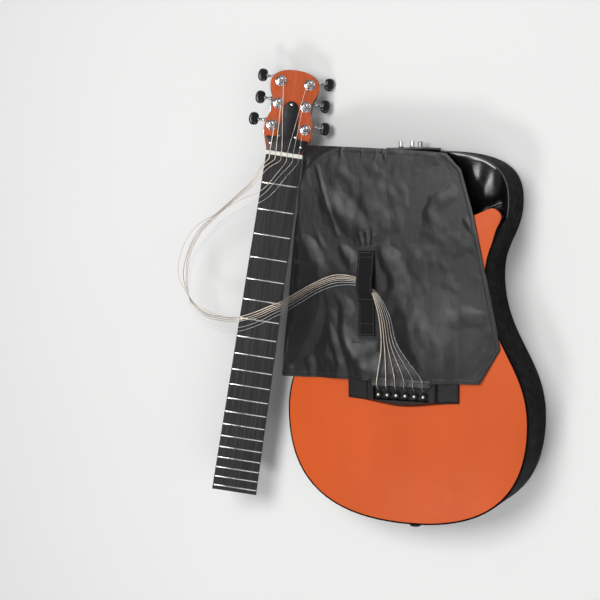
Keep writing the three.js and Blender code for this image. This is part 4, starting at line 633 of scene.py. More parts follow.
def half_outline():
    line = []
    for (x0, y0), (x1, y1), near, far, kind in SPANS:
        b = (lerp(x0, x1, near), y0) if kind == "round" else (x0, lerp(y0, y1, near))
        c = (x0 * far, y1) if kind == "shoulder" else (x1, y1 - (y1 - y0) * far)
        line += list(bezier((x0, y0), b, c, (x1, y1), SPAN_STEPS))[:-1]
    return np.array(line + [(0, NECK_END)])


RIGHT = half_outline()
OUTLINE = np.vstack([RIGHT, RIGHT[1:-1][::-1] * [-1, 1]])


def half_width(y):
    return float(np.interp(y, RIGHT[:, 1], RIGHT[:, 0]))


def uniform_spline(points, steps):
    p = np.asarray(points, float)
    out = []
    for k in range(steps + 1):
        t = (len(p) - 1) * k / steps
        i = min(int(t), len(p) - 2)
        w = t - i
        a, b, c, d = p[max(i - 1, 0)], p[i], p[i + 1], p[min(i + 2, len(p) - 1)]
        v0, v1 = (c - a) / 2, (d - b) / 2
        out.append((2 * b - 2 * c + v0 + v1) * w**3 + (-3 * b + 3 * c - 2 * v0 - v1) * w**2 + v0 * w + b)
    return np.array(out)


# Scoop: its line at the sides (RIM_LINE) and at the soundboard (WALL), and its form between them
SCOOP_STEPS = 84
HORN_Y, THROAT_X = 198.0, 31.0
SCOOP_RIM_Z, SCOOP_DIP, SCOOP_WALL, SCOOP_FILLET = 63.0, 19.0, 2.6, 7.0
SCOOP_BEND = 1.15
FLUTE, FLUTE_TURNS, FLUTE_AT = 0.45, 7.0, 0.7
HORN_SPOT = (half_width(HORN_Y) - 4.5, HORN_Y)
THROAT_SPOT = (THROAT_X, NECK_END - 3)
WALL = uniform_spline(
    [HORN_SPOT, (119.5, 213), (109, 221.5), (87, 213.5), (62, 209), (39, 234), THROAT_SPOT], SCOOP_STEPS
)
shoulder = [p for p in RIGHT if p[1] > HORN_Y and p[0] > THROAT_X]
last_span = RIGHT[-SPAN_STEPS - 1 :]
throat_y = float(np.interp(-THROAT_X, -last_span[:, 0], last_span[:, 1]))
shoulder = np.array([(half_width(HORN_Y), HORN_Y), *shoulder, (THROAT_X, throat_y)])
run = distances(shoulder)
even = np.linspace(0, run[-1], SCOOP_STEPS + 1)
RIM_LINE = np.c_[np.interp(even, run, shoulder[:, 0]), np.interp(even, run, shoulder[:, 1])]


def scoop_section(share, span, skin):
    """Cross-section of the scoop from its rolled outer lip to the foot of the soundboard's edge."""
    ease = float(smooth(share / 0.35))
    fade = float(smooth((share - 0.38) / 0.14) * smooth((0.98 - share) / 0.08))
    back = skin * SCOOP_WALL
    fillet = min(SCOOP_FILLET, span * 0.3)
    dip = SCOOP_DIP * ease * min(1, span / (SCOOP_FILLET * 4))
    low = SCOOP_RIM_Z - dip
    lip = min(2.4, span * 0.2)
    if skin == 0:
        angles = np.linspace(0, 1.2, 6)
        points = [(lip * (1 - math.cos(a)), SCOOP_RIM_Z - lip + lip * math.sin(a)) for a in angles]
        start = points[-1][0]
    else:
        points = [(SCOOP_WALL * 0.5, SCOOP_RIM_Z - lip)]
        start = SCOOP_WALL
    for t in np.linspace(0, 1, 15)[1:]:
        s = lerp(start, span - fillet, t)
        u = min(1, s / (span - fillet))
        flute = FLUTE * math.sin(FLUTE_TURNS * 2 * math.pi * (FLUTE_AT - share)) * min(1, u * 5) * fade
        points.append((s, SCOOP_RIM_Z - dip * u**SCOOP_BEND + flute - back))
    sweep, foot = fillet + back, span - fillet
    for a in np.linspace(0, math.pi / 2, 7)[1:]:
        points.append((foot + sweep * math.sin(a), low + fillet - sweep * math.cos(a)))
    points.append((span + back, TOP - BOARD_THICK - GAP))
    return points


def scoop():
    rings = []
    for i in range(SCOOP_STEPS + 1):
        edge = RIM_LINE[i]
        span = np.linalg.norm(WALL[i] - edge)
        across = (WALL[i] - edge) / span
        face = scoop_section(i / SCOOP_STEPS, span, 0)
        hidden = scoop_section(i / SCOOP_STEPS, span, 1)[::-1]
        rings.append([(*(edge + across * s), z) for s, z in face + hidden])
    return loft(rings)


BINDING = 2.45


def horn_ease(x, y):
    """Extra width of the binding as it nears the cutaway's horn."""
    return BINDING * float(smooth((y - 176) / 22)) if x > 0 else 0.0


def rim():
    """The sides as one closed band: rounded back edge, plain sides, and a ledge at the soundboard."""
    heights = []
    for x, y in OUTLINE:
        past = min((y - HORN_Y) / 16, (x - THROAT_X) / 12)
        heights.append(lerp(TOP, SCOOP_RIM_Z - 2.7, float(smooth(past))))
    tangent = unit(np.roll(OUTLINE, -2, 0) - np.roll(OUTLINE, 2, 0))
    normal = np.c_[-tangent[:, 1], tangent[:, 0]]
    ease, ledge, inner, floor_high = 0.8, 71.8, 3, 3.3
    angles = np.linspace(0, math.pi / 2, 5)
    front = [(ease * (1 - math.cos(a)), TOP - ease + ease * math.sin(a)) for a in angles]
    section = [(5.7, 0.05), *quarter(4, 6), (0, 30), (0, 50), (0, 60), *front, (1.95, TOP)]
    section += [(2.0, ledge), (inner, ledge), (inner, floor_high), (5.7, floor_high)]
    rings = []
    for p, n, high in zip(OUTLINE, normal, heights):
        extra = horn_ease(*p) if high > TOP - 1 else BINDING * (p[0] > THROAT_X)
        insets = [inset + (extra if inset > 1 and z > 70 else 0) for inset, z in section]
        rings.append([(*(p + n * inset), min(z, high)) for inset, (_, z) in zip(insets, section)])
    return loft(rings, closed=True)


def cut_outline(inset):
    """The soundboard's outline: the body's, with the cutaway's wall in place of the treble shoulder."""
    inner = offset(OUTLINE, inset)
    right = [(x - horn_ease(x, y), y) for x, y in inner[: len(RIGHT)] if y < HORN_Y - 2]
    rest = [p for p in inner[len(RIGHT) - 40 :] if p[0] < THROAT_X - 0.4 and (p[1] > 200 or p[0] < 0)]
    return [tuple(p) for p in [*right, *WALL, *rest]]


SOUNDHOLE = circle(0, 155, 42, 64)
WHEEL_HALF, WHEEL_LOW, WHEEL_HIGH = 16.4, 261, 271
piece("rim_band", *rim(), SIDES, slot="body_black", stands_for="rim", sharp=40)
piece("scoop_panel", *scoop(), GLOSS, slot="scoop_gloss", stands_for="cutaway_scoop", sharp=50)
top_loops = [cut_outline(2.05), SOUNDHOLE, *(circle(PIN_SPREAD * k, 0, 2.8, 16) for k in PLACES)]
board = plate(top_loops, TOP - BOARD_THICK, TOP, 0.35)
piece("top_board", *board, ORANGE, slot="soundboard", stands_for="soundboard")
wheel_hole = [(-WHEEL_HALF, WHEEL_LOW), (-WHEEL_HALF, WHEEL_HIGH)]
wheel_hole += [(WHEEL_HALF, WHEEL_HIGH), (WHEEL_HALF, WHEEL_LOW)]
back = plate([[tuple(p) for p in offset(OUTLINE, 5.95)], wheel_hole], 0, 3, 0.4)
piece("back_board", *back, SIDES, slot="body_black", stands_for="back_panel")

# Bridge: a carved block with two wings and a pocket for the strings, and a slot for the saddle
BRIDGE_HALF, BRIDGE_FRONT = 70.0, 20.0
BACK_MIDDLE, BACK_END = -14.0, -7.0
WING_FROM, POCKET_HALF, POCKET_LOW = 42, 35.5, -6.5
BRIDGE_EASE = 0.9
SADDLE_HALF = 37


def bridge_height(x, y, low):
    top = lerp(BRIDGE_HIGH, WING_HIGH, float(smooth((abs(x) - WING_FROM) / 4)))
    z = min(top, 2 + (top - 2) * float(np.clip((y - low) / 4, 0, 1)) ** 0.85)
    for away in (BRIDGE_FRONT - y, BRIDGE_HALF - abs(x)):
        if away < BRIDGE_EASE:
            z = min(z, top - BRIDGE_EASE + math.sqrt(max(0, BRIDGE_EASE**2 - (BRIDGE_EASE - away) ** 2)))
    inside = min(POCKET_HALF - abs(x), y - POCKET_LOW, (9 - y) * 2.2)
    if inside > 0:
        z = min(z, lerp(top, WING_HIGH, float(smooth(inside / 1.7))))
    if abs(x) < SADDLE_HALF + 0.3 and abs(y - SADDLE_Y) < 1.75:
        z = min(z, 6.0)
    return z


def bridge():
    steps = [np.linspace(-BRIDGE_HALF, BRIDGE_HALF, 141), np.linspace(-47, -33, 57), np.linspace(33, 47, 57)]
    shares = np.unique(np.r_[np.linspace(0, 1, 41), np.linspace(0, 0.3, 31)])
    rings = []
    for x in np.unique(np.concatenate(steps)):
        low = lerp(BACK_MIDDLE, BACK_END, float(smooth(abs(x) / BRIDGE_HALF)))
        ys = [lerp(low, BRIDGE_FRONT, share) for share in shares]
        top = [(x, y, BRIDGE_BASE + bridge_height(x, y, low)) for y in ys]
        rings.append(top + [(x, y, BRIDGE_BASE) for y in reversed(ys)])
    return loft(rings)


piece("bridge_body", *bridge(), BRIDGE_BLACK, slot="fingerboard_black", stands_for="bridge", sharp=60)
foot, side = 80.7, 1.5
crown = [(-side, foot), (side, foot), (side, SADDLE_TOP), (-side, SADDLE_TOP), (-side, foot)]
crown = rounded(crown, 1.1)[:-1]
ends = ((-SADDLE_HALF, 0.8), (-36.6, 0.8), (-20, 1), (0, 1), (20, 1), (36.6, 0.8), (SADDLE_HALF, 0.8))
saddle = loft([[(x, SADDLE_Y + y * size, z) for y, z in crown] for x, size in ends])
piece("saddle_bar", *saddle, BONE, slot="ivory", stands_for="saddle")
PIN_SHANK = [(0, -24), (1.2, -23.8), (2.1, -22.5), (2.5, -1), (2.5, 0), (3.1, 0), (3.15, 0.5), (3.0, 0.8)]
PIN_BALL = [(3.9 * math.cos(a), 2.9 + 3.0 * math.sin(a)) for a in np.linspace(-0.7, math.pi / 2, 16)]
PIN_DOT = [(0, 5.6), (1.35, 5.62), (1.3, 5.82), (0.7, 5.93), (0, 5.96)]
for i, k in enumerate(PLACES):
    at = shift(PIN_SPREAD * k, 0, PIN_COLLAR)
    pin = turned(PIN_SHANK + PIN_BALL, 32, at)
    piece(f"pin_{i + 1}", *pin, PLASTIC, slot="black_plastic", stands_for=f"bridge_pin_{i + 1}")
    piece(f"pin_dot_{i + 1}", *turned(PIN_DOT, 20, at), BONE, slot="ivory")

# Neck joint, bolt and strap button
LAY = shift(0, NECK_END, 0) @ turn(-90, "X")
GUIDE_X, GUIDE_Y = 7.2, -62
GUIDE_PIN = [(0, 3), (3, 3), (3, 10.2), (1.6, 11), (0, 11)]
joint_loop = [(-23, -70), (23, -70), (23, -8), (-23, -8)]
joint = plate([joint_loop, circle(0, -17, 3.3, 24)], 0, 3, 0.5)
piece("joint_plate", *moved(joint, LAY), DARK_STEEL, slot="steel", stands_for="neck_joint_plate")
guides = [turned(rounded(GUIDE_PIN, 0.5), 28, shift(side * GUIDE_X, GUIDE_Y, 0)) for side in (-1, 1)]
piece("guide_pins", *moved(merged(guides), LAY), CHROME, slot="chrome")
WHEEL_RADIUS, WHEEL_RIPPLES, WHEEL_SIDES = 15.4, 14, 168
BOLT_ROD = [(0, -11), (3, -11), (3, 27), (3, 34), (2.2, 35), (0, 35)]
BOLT_AT = shift(0, 266, 17) @ turn(-90, "X")


def thumbwheel():
    angles = np.linspace(0, 2 * math.pi, WHEEL_SIDES + 1)[:-1]
    edge = [WHEEL_RADIUS * (1 - 0.035 * (1 + math.cos(a * WHEEL_RIPPLES)) ** 2 / 2) for a in angles]
    levels = [(0.9, -4), (1, -3.2), (1, 3.2), (0.9, 4)]
    rings = [[(r * k * math.cos(a), r * k * math.sin(a), z) for a, r in zip(angles, edge)] for k, z in levels]
    return merged([loft(rings), turned(rounded(BOLT_ROD, 0.4), 24)])


bolt = moved(thumbwheel(), BOLT_AT)
piece("bolt_and_wheel", *bolt, STEEL, body="lock_bolt", slot="steel", stands_for="lock_bolt")
KNOB = [(0, -14), (2, -14), (2, 0.3), (5.5, 0.3), (3.6, 3.7), (3.6, 7)]
KNOB += [(7, 8.5), (7, 10.2), (5.9, 11), (0, 11)]
KNOB_AT = shift(0, TAIL_Y, TOP / 2) @ turn(90, "X")
knob = turned(rounded(KNOB, 0.8), 40, KNOB_AT)
piece("strap_knob", *knob, PLASTIC, slot="black_plastic", stands_for="strap_button")

# String cover: its left and right edges, and the strap's edges on it
LEFT_LINE = [(-173.6, 12.8, 52), (-152.7, 194, 53), (-137.4, 295, 54)]
RIGHT_LINE = [(95.6, 18.3, 0), (119.6, 59, 0), (87, 214, 0), (72.3, 266, 0), (54, 285, 0)]
STRAP_X0, STRAP_X1, STRAP_TOP, STRAP_LOW = -56.5, -35.5, 171.0, 69.0


def along_line(line, share):
    """The point at that share of a line's length."""
    line = np.array(line, float)
    run = distances(line)
    return at_distance(line, run, share * run[-1])


def outside_by(x, y):
    """How far a place lies outside the outline that the cloth hangs over."""
    a, b = DRAPE_LINE, np.roll(DRAPE_LINE, -1, 0)
    crossing = (a[:, 1] > y) != (b[:, 1] > y)
    with np.errstate(divide="ignore", invalid="ignore"):
        at = a[:, 0] + (b[:, 0] - a[:, 0]) * (y - a[:, 1]) / (b[:, 1] - a[:, 1])
    if np.count_nonzero(crossing & (x < at)) % 2:
        return 0.0
    d = b - a
    t = np.clip(((x - a[:, 0]) * d[:, 0] + (y - a[:, 1]) * d[:, 1]) / (d**2).sum(1), 0, 1)
    return float(np.hypot(x - a[:, 0] - d[:, 0] * t, y - a[:, 1] - d[:, 1] * t).min())


TAUT = 0.6


def taut_line():
    """The outline as the cloth feels it: stretched part of the way across the bass waist."""
    x, y = OUTLINE[:, 0], OUTLINE[:, 1]
    (low_x, low_y), (high_x, high_y) = LOWER_BOUT, UPPER_BOUT
    straight = -np.interp(y, [low_y, high_y], [low_x, high_x])
    inside = (x < 0) & (y > low_y) & (y < high_y)
    return np.c_[np.where(inside, lerp(x, np.minimum(x, straight), TAUT), x), y]


DRAPE_LINE = taut_line()

# Creases: points of a line, height and width, round the strap, down the left and along the hems
CREASES = [
    ([(-85, 190), (-96, 220), (-107, 254), (-114, 278)], 1.7, 3),
    ([(-55, 182), (-64, 196), (-77, 212), (-92, 226), (-110, 250)], 3.8, 14),
    ([(-50, 180), (-48, 204), (-44, 224), (-29, 243), (-18, 262)], 1.7, 15),
    ([(-38, 180), (-32, 194), (-16, 206), (6, 216)], 1.7, 14),
    ([(33, 196), (35, 219), (40, 228), (56, 239), (70, 256)], 1.6, 11),
    ([(86, 194), (80, 204), (74, 212)], 0.9, 4),
    ([(-22, 106), (-10, 125), (-11, 141), (-21, 160), (-33, 178)], 3.9, 12),
    ([(-104, 136), (-115, 150), (-122, 167), (-130, 190)], 2.8, 10),
    ([(-104, 176), (-112, 190), (-120, 212)], 1.1, 5),
    ([(-62, 148), (-70, 160), (-80, 180)], 2.2, 8),
    ([(-92, 16), (-108, 56), (-124, 80), (-142, 108)], 4.2, 12),
    ([(-78, 18), (-84, 44), (-96, 70), (-112, 92)], 1.8, 6),
    ([(-56, 24), (-66, 46), (-74, 72), (-75, 100), (-88, 124)], 3.4, 10),
    ([(-150, 14), (-155, 45), (-160, 92)], 2.4, 7),
    ([(-120, 18), (-126, 36), (-134, 54)], 1.7, 6),
    ([(50, 94), (84, 97), (112, 98)], 0.8, 11),
    ([(16, 66), (6, 94), (-8, 118)], 2.2, 15),
    ([(-80, 284), (-78, 296)], 1, 2.4),
    ([(-54, 281), (-50, 293)], 1, 2.4),
    ([(-36, 279), (-31, 291)], 1, 2.4),
    ([(-24, 280), (-22, 290)], 0.8, 2.2),
    ([(-99, 30), (-95, 14)], 1, 2.4),
    ([(-85, 30), (-81, 15)], 1, 2.4),
    ([(-61, 27), (-57, 13)], 1, 2.4),
    ([(-52, 177), (-56, 194)], 1.5, 2.6),
    ([(-46, 177), (-46, 196)], 1.6, 2.6),
    ([(-40, 177), (-37, 194)], 1.5, 2.6),
]
CREASE_SHARE, CREASE_STEP = 0.62, 1.5


def creases_at(x, y):
    """Height of all creases over arrays of places; each is steep on its left and long on its right."""
    rise = np.zeros_like(x)
    for points, height, width in CREASES:
        line = catmull([(a, b, 0) for a, b in points], CREASE_STEP)[:, :2]
        ahead = np.gradient(line, axis=0)
        low, high = line.min(0) - width * 2.1, line.max(0) + width * 2.1
        near = (x > low[0]) & (x < high[0]) & (y > low[1]) & (y < high[1])
        off = np.stack([x[near][:, None] - line[:, 0], y[near][:, None] - line[:, 1]], -1)
        k = np.hypot(off[..., 0], off[..., 1]).argmin(-1)
        off = off[np.arange(len(k)), k]
        side = ahead[k, 0] * off[:, 1] - ahead[k, 1] * off[:, 0]
        reach = width * np.where(side > 0, 1.05, 1.8)
        share = k / (len(line) - 1)
        taper = np.minimum(1, share * 3 + 0.35) * np.minimum(1, (1 - share) * 3 + 0.1)
        crest = 1 - (off**2).sum(-1) / reach**2
        rise[near] += CREASE_SHARE * height * taper * np.maximum(0, crest) ** 2
    return rise


def rest_height(x, y):
    """The cloth's height over soundboard, bridge and saddle, before its creases."""
    clear = np.maximum(smooth((x + 34) / 30), smooth((-58 - x) / 25))
    start = lerp(66, lerp(106, 150, smooth((x + 34) / 80)), clear)
    near = smooth((start - y) / (start - 26))
    across = smooth((118 - np.abs(x)) / 42)
    past = smooth((np.abs(x) - 48) / 24)
    over_saddle = 2.4 * smooth((19.6 - y) / 5.2) * smooth((41 - np.abs(x)) / 4)
    return TOP + GAP + (GAP + lerp(BRIDGE_HIGH, WING_HIGH, past)) * near * across + over_saddle


NEAR_CLOTH = 24


def string_limit(x, y):
    """The highest that the cloth may be under the strings."""
    limit = np.full_like(x, 1e3)
    for i, gauge in enumerate(GAUGES):
        for px, py, pz in catmull(string_points(i)[:NEAR_CLOTH], 6.0):
            if py < SADDLE_Y - 0.1:
                continue
            away = np.maximum(np.hypot(x - px, y - py) - 2.5, 0)
            limit = np.minimum(limit, pz - gauge / 2 - 0.45 + away * 0.3)
    return limit


def over_grid(measure, x, y):
    return np.array([[measure(a, b) for a, b in zip(*row)] for row in zip(x, y)])


def pucker_at(x, y):
    """Fine unevenness of the cloth."""
    broad = noise.noise(Vector((x * 0.03, y * 0.03, 4.2)))
    return broad + 0.4 * noise.noise(Vector((x * 0.1, y * 0.08, 1.7)))


def cover_sheet(columns, rows):
    """The cloth's points by row and column, from the lower hem up and from the left hem to the right."""
    u, v = np.meshgrid(np.linspace(0, 1, columns + 1), np.linspace(0, 1, rows + 1))
    left = np.array([along_line(LEFT_LINE, s) for s in v[:, 0]])
    right = np.array([along_line(RIGHT_LINE, s) for s in v[:, 0]])
    x = lerp(left[:, :1], right[:, :1], u)
    y = lerp(left[:, 1:2], right[:, 1:2], u)
    y += 3 * v**8 * (1 - u**3)
    hem = lerp(np.maximum(y, 16.8 * smooth(u * 20)), 11.8, smooth((42 - np.abs(x)) / 4))
    y = np.where(v == 0, hem, y)
    outside = over_grid(lambda a, b: max(0.0, outside_by(a, b) - 10.5), x, y)
    reach = np.maximum(9.0, outside[:, :1])
    share = smooth(outside / reach)
    z = lerp(rest_height(x, y), left[:, 2:] - 1, share)
    beside = np.where((y > STRAP_LOW - 8) & (y < STRAP_TOP + 5), smooth((np.abs(x + 46) - 10) / 10), 1)
    rise = np.maximum(0, creases_at(x, y) + over_grid(pucker_at, x, y) * smooth(u * 40)) * beside
    z = z + 0.75 + rise * (1 - 0.35 * share)
    ease = 0.7 + 3 * smooth(share * 3)
    z = z - ease * np.log1p(np.exp(np.clip((z - string_limit(x, y)) / ease, -40, 40)))
    beyond = np.abs(x) - np.interp(y, RIGHT[:, 1], RIGHT[:, 0])
    on_body = smooth((16 - beyond) / 13)
    z = np.maximum(z, lerp(z, TOP + 0.62, on_body))
    return np.stack([x, y, z], -1)


COLS, ROWS = 210, 220
cover_grid = cover_sheet(COLS, ROWS)


def sheet_faces(rows, cols):
    corners = [r * cols + c for r in range(rows - 1) for c in range(cols - 1)]
    return [(i, i + 1, i + cols + 1, i + cols) for i in corners]


cover = piece("cover_cloth", cover_grid.reshape(-1, 3), sheet_faces(ROWS + 1, COLS + 1), NYLON,
              slot="cover_cloth", stands_for="string_cover", sharp=80)
cloth = cover.modifiers.new("thickness", "SOLIDIFY")
cloth.thickness, cloth.offset = 0.6, 0
UP = np.array([0, 0, 1.0])
LAP = 0.6


def inward_of(line, neighbour):
    """The direction across an edge, towards a neighbouring line of the sheet."""
    ahead = unit(np.gradient(line, axis=0))
    across = neighbour - line
    return unit(across - ahead * (across * ahead).sum(1, keepdims=True))


def ribbon(line, inward, width, high, name):
    """A hem folded over an edge: line on the edge, inward the direction across it, both per point."""
    section = [(-LAP, 0), (-LAP, high), (width, high), (width, -high), (-LAP, -high), (-LAP, 0)]
    section = rounded(section, 0.5, 3)[:-1]
    rings = [[p + n * a + UP * b for a, b in section] for p, n in zip(line, inward)]
    return piece(name, *loft(rings), NYLON, slot="cover_cloth", sharp=60)


right_edge, left_edge, low_edge, top_edge = cover_grid[:, -1], cover_grid[:, 0], cover_grid[0], cover_grid[-1]
right_in, low_in = inward_of(right_edge, cover_grid[:, -6]), inward_of(low_edge, cover_grid[4])
hems = [
    ribbon(right_edge, right_in, 4.5, 0.95, "cover_binding"),
    ribbon(low_edge, low_in, 5, 0.42, "cover_hem_low"),
    ribbon(top_edge, inward_of(top_edge, cover_grid[-5]), 6, 0.42, "cover_hem_top"),
    ribbon(left_edge, inward_of(left_edge, cover_grid[:, 4]), 6, 0.7, "cover_hem_left"),
]
STITCH_ENDS = (0.175, 0.825)
STITCH_FORM = ((0, 0.35), (0.18, 0.85), (0.5, 1), (0.82, 0.85), (1, 0.35))


def stitches(line, length, width, height, name, body="guitar"):
    """Thread stitches along a line, each a small rounded bar."""
    line = np.asarray(line, float)
    run = distances(line)
    count = max(1, int(run[-1] / length))
    parts = []
    for k in range(count):
        a, b = (at_distance(line, run, run[-1] * (k + s) / count) for s in STITCH_ENDS)
        ahead = unit(b - a)
        across = unit(np.cross(ahead, UP))
        lift = np.cross(across, ahead)
        rings = []
        for s, size in STITCH_FORM:
            mid, wide, tall = a + (b - a) * s, across * width / 2 * size, lift * height * size
            rings.append([mid + wide * math.cos(q) + tall * math.sin(q) for q in np.arange(6) * math.pi / 3])
        parts.append(loft(rings))
    return piece(name, *merged(parts), THREAD, body=body, slot="webbing")


for k, (away, lift) in enumerate(((2.4, 0.95), (6.4, 0.35))):
    seam = right_edge + right_in * away + UP * lift
    hems.append(stitches(seam, 3.2, 0.6, 0.35, f"cover_seam_{k + 1}"))
hems.append(stitches(low_edge + low_in * 4 + UP * 0.4, 3.2, 0.4, 0.3, "cover_seam_3"))

# Strap: the flap rises over the strings at BULGE_Y
STRAP_BASE = TOP + GAP + 1 + GAP
STRAP_THICK, STRAP_EDGE = 1.25, 0.55
BULGE_Y, BULGE_HIGH = 127, 8.7


def flap_height(y):
    over_tab = float(smooth((BULGE_Y - y) / 16)) * 1.7
    off = (y - BULGE_Y) / 44 if y > BULGE_Y else (BULGE_Y - y) / 17
    return STRAP_BASE + max(over_tab, BULGE_HIGH * float(smooth(1 - off)))


def tab_height(y):
    return STRAP_BASE


def strip(y0, y1, height, name, body, stands_for, steps):
    """A band of webbing from y0 to y1 that follows a height."""
    x0, x1, thick = STRAP_X0, STRAP_X1, STRAP_THICK
    section = rounded([(x0, 0), (x0, thick), (x1, thick), (x1, 0), (x0, 0)], STRAP_EDGE, 3)[:-1]
    rings = [[(x, y, height(y) + 0.15 + h) for x, h in section] for y in np.linspace(y0, y1, steps)]
    return piece(name, *loft(rings), WEBBING, body=body, slot="webbing", stands_for=stands_for, sharp=50)


flap = strip(111, STRAP_TOP, flap_height, "flap_webbing", "strap_flap", "strap_flap", 90)
tab = strip(STRAP_LOW, 110.6, tab_height, "tab_webbing", "guitar", "strap_tab", 30)
SEAM_LEFT, SEAM_RIGHT, SEAM_HIGH = -54.6, -37.4, 1.45


def seam_on(height, start, end, steps=24):
    """A seam's line over the strap from one place to another."""
    places = [lerp(np.array(start), np.array(end), s) for s in np.linspace(0, 1, steps)]
    return [(x, y, height(y) + SEAM_HIGH) for x, y in places]


seams = []
for x in (SEAM_LEFT, SEAM_RIGHT):
    seams.append((seam_on(flap_height, (x, 112.8), (x, 169), 60), "strap_flap"))
    seams.append((seam_on(tab_height, (x, 70.6), (x, 109.5)), "guitar"))
for y in (112.8, 163.5, 169):
    seams.append((seam_on(flap_height, (SEAM_LEFT, y), (SEAM_RIGHT, y)), "strap_flap"))
for y in (70.6, 83.5):
    seams.append((seam_on(tab_height, (SEAM_LEFT, y), (SEAM_RIGHT, y)), "guitar"))
strap_seams = {"strap_flap": [], "guitar": []}
for k, (line, body) in enumerate(seams):
    strap_seams[body].append(stitches(line, 2.2, 0.8, 0.4, f"strap_seam_{k + 1}", body))

# Neck
SCALE = 625.0


def fret_at(n):
    return SCALE * (1 - 2 ** (-n / 12))


FRETS, JOINT_FRET = 20, 14
HEEL_Y, END_Y = -fret_at(JOINT_FRET), -fret_at(FRETS) - 6
HEEL_RUN, HEEL_DEPTH, DEPTH_NUT, DEPTH_HEEL = 60.0, 66.0, 14.5, 17.0
HEEL_CURVE = 0.92
NUT_HALF, NECK_WIDENS = 22.5, 12
NECK_TOP, NECK_SIDES = -6.3, 28


def neck_half(y):
    return (2 * NUT_HALF + NECK_WIDENS * y / -fret_at(FRETS)) / 2


def neck_depth(y):
    """The neck's depth under the fretboard, which grows into the heel along an arc."""
    plain = lerp(DEPTH_NUT, DEPTH_HEEL, y / HEEL_Y)
    share = min(1.0, max(0.0, (HEEL_Y + HEEL_RUN - y) / HEEL_RUN))
    grown = (1 - math.sqrt(1 - (share * HEEL_CURVE) ** 2)) / (1 - math.sqrt(1 - HEEL_CURVE**2))
    return plain + (HEEL_DEPTH - plain) * grown


def neck_ring(y):
    """The neck's section: round under the strings' length, and narrowing to a keel in the heel."""
    half, depth = neck_half(y), neck_depth(y)
    deep = min(1.0, max(0.0, (depth - DEPTH_HEEL) / (HEEL_DEPTH - DEPTH_HEEL)))
    ring = []
    for i in range(NECK_SIDES + 1):
        a = i * math.pi / NECK_SIDES
        down, cross = math.sin(a), math.cos(a)
        keel = lerp(half, 16, down) * (1 if cross > 0 else -1 if cross < 0 else 0)
        pinch = keel * min(1, abs(cross) / 0.2)
        x = lerp(half * cross, pinch, float(smooth(deep)))
        ring.append((x, y, NECK_TOP - depth * max(down, 0) ** lerp(1, 0.8, deep)))
    return ring


def shaft():
    straight = np.linspace(0, HEEL_Y + HEEL_RUN, 24)
    heel = HEEL_Y + HEEL_RUN * (1 - np.linspace(0, 1, 40)[1:] ** 0.8)
    return loft([neck_ring(float(y)) for y in [*straight, *heel]])


near_half, far_half = neck_half(0), neck_half(END_Y)
board_loop = [(-near_half, 0), (-far_half, END_Y), (far_half, END_Y), (near_half, 0)]
piece("finger_board", *plate([board_loop], -6, 0, 0.5), EBONY, NECK, slot="fingerboard_black",
      stands_for="fretboard")


def fret(n):
    """A fret with a round crown that falls off at both ends."""
    y, half = -fret_at(n), neck_half(-fret_at(n)) - 0.6
    round_top = [(-1.1 * math.cos(a), 0.1 + math.sin(a)) for a in np.linspace(0.15, math.pi - 0.15, 9)]
    crown = [(-1.2, -0.3), (-1.15, 0.1), *round_top, (1.15, 0.1), (1.2, -0.3)]
    ends = [(half, 0.45), (half - 0.35, 0.85), (half - 0.8, 1)]
    rings = []
    for x, size in [(-x, size) for x, size in ends] + ends[::-1]:
        rings.append([(x, y + a, max(b, -0.3) * (size if b > 0 else 1)) for a, b in crown])
    return loft(rings)


piece("frets", *merged([fret(n) for n in range(1, FRETS + 1)]), NICKEL, NECK, slot="chrome", sharp=50)


def carve(thing, cutters):
    """Cuts solids out of a piece for good; they are in the piece's own frame."""
    graph = bpy.context.evaluated_depsgraph_get()
    tools = []
    for k, (verts, faces) in enumerate(cutters):
        mesh = bpy.data.meshes.new(f"cutter_{k}")
        mesh.from_pydata([tuple(v) for v in verts], [], [tuple(f) for f in faces])
        tool = bpy.data.objects.new(f"cutter_{k}", mesh)
        scene.collection.objects.link(tool)
        tool.matrix_world = thing.matrix_world
        cut = thing.modifiers.new("cut", "BOOLEAN")
        cut.operation, cut.solver, cut.object = "DIFFERENCE", "EXACT", tool
        tools.append(tool)
    graph.update()
    made = bpy.data.meshes.new_from_object(thing.evaluated_get(graph))
    thing.modifiers.clear()
    thing.data = made
    for tool in tools:
        bpy.data.objects.remove(tool)


# Heel: cut for its plate, two guide pins and the bolt. The wood's points are in the stage's millimetres
PLATE_HALF, PLATE_THICK = 20.3, 3.3
SOCKETS = ((-GUIDE_X, -19, 3.4), (GUIDE_X, -19, 3.4), (0, -64, 3.3))
SOCKET_DEEP = 14
NECK_IN_ROW = MM.inverted() @ NECK
neck_wood = piece("neck_wood", *moved(shaft(), NECK_IN_ROW), NECK_BLACK, MM, slot="neck_black",
                  stands_for="neck", sharp=50)
plate_box = (-PLATE_HALF, PLATE_HALF, HEEL_Y - 2, HEEL_Y + PLATE_THICK, NECK_TOP - 67, NECK_TOP - 2.4)
cutters = [box_solid(*plate_box, 0)]
for x, z, radius in SOCKETS:
    bore = [(0, 0), (radius, 0), (radius, SOCKET_DEEP), (0, SOCKET_DEEP)]
    cutters.append(turned(bore, 24, shift(x, HEEL_Y, z) @ turn(-90, "X")))
carve(neck_wood, [moved(cutter, NECK_IN_ROW) for cutter in cutters])


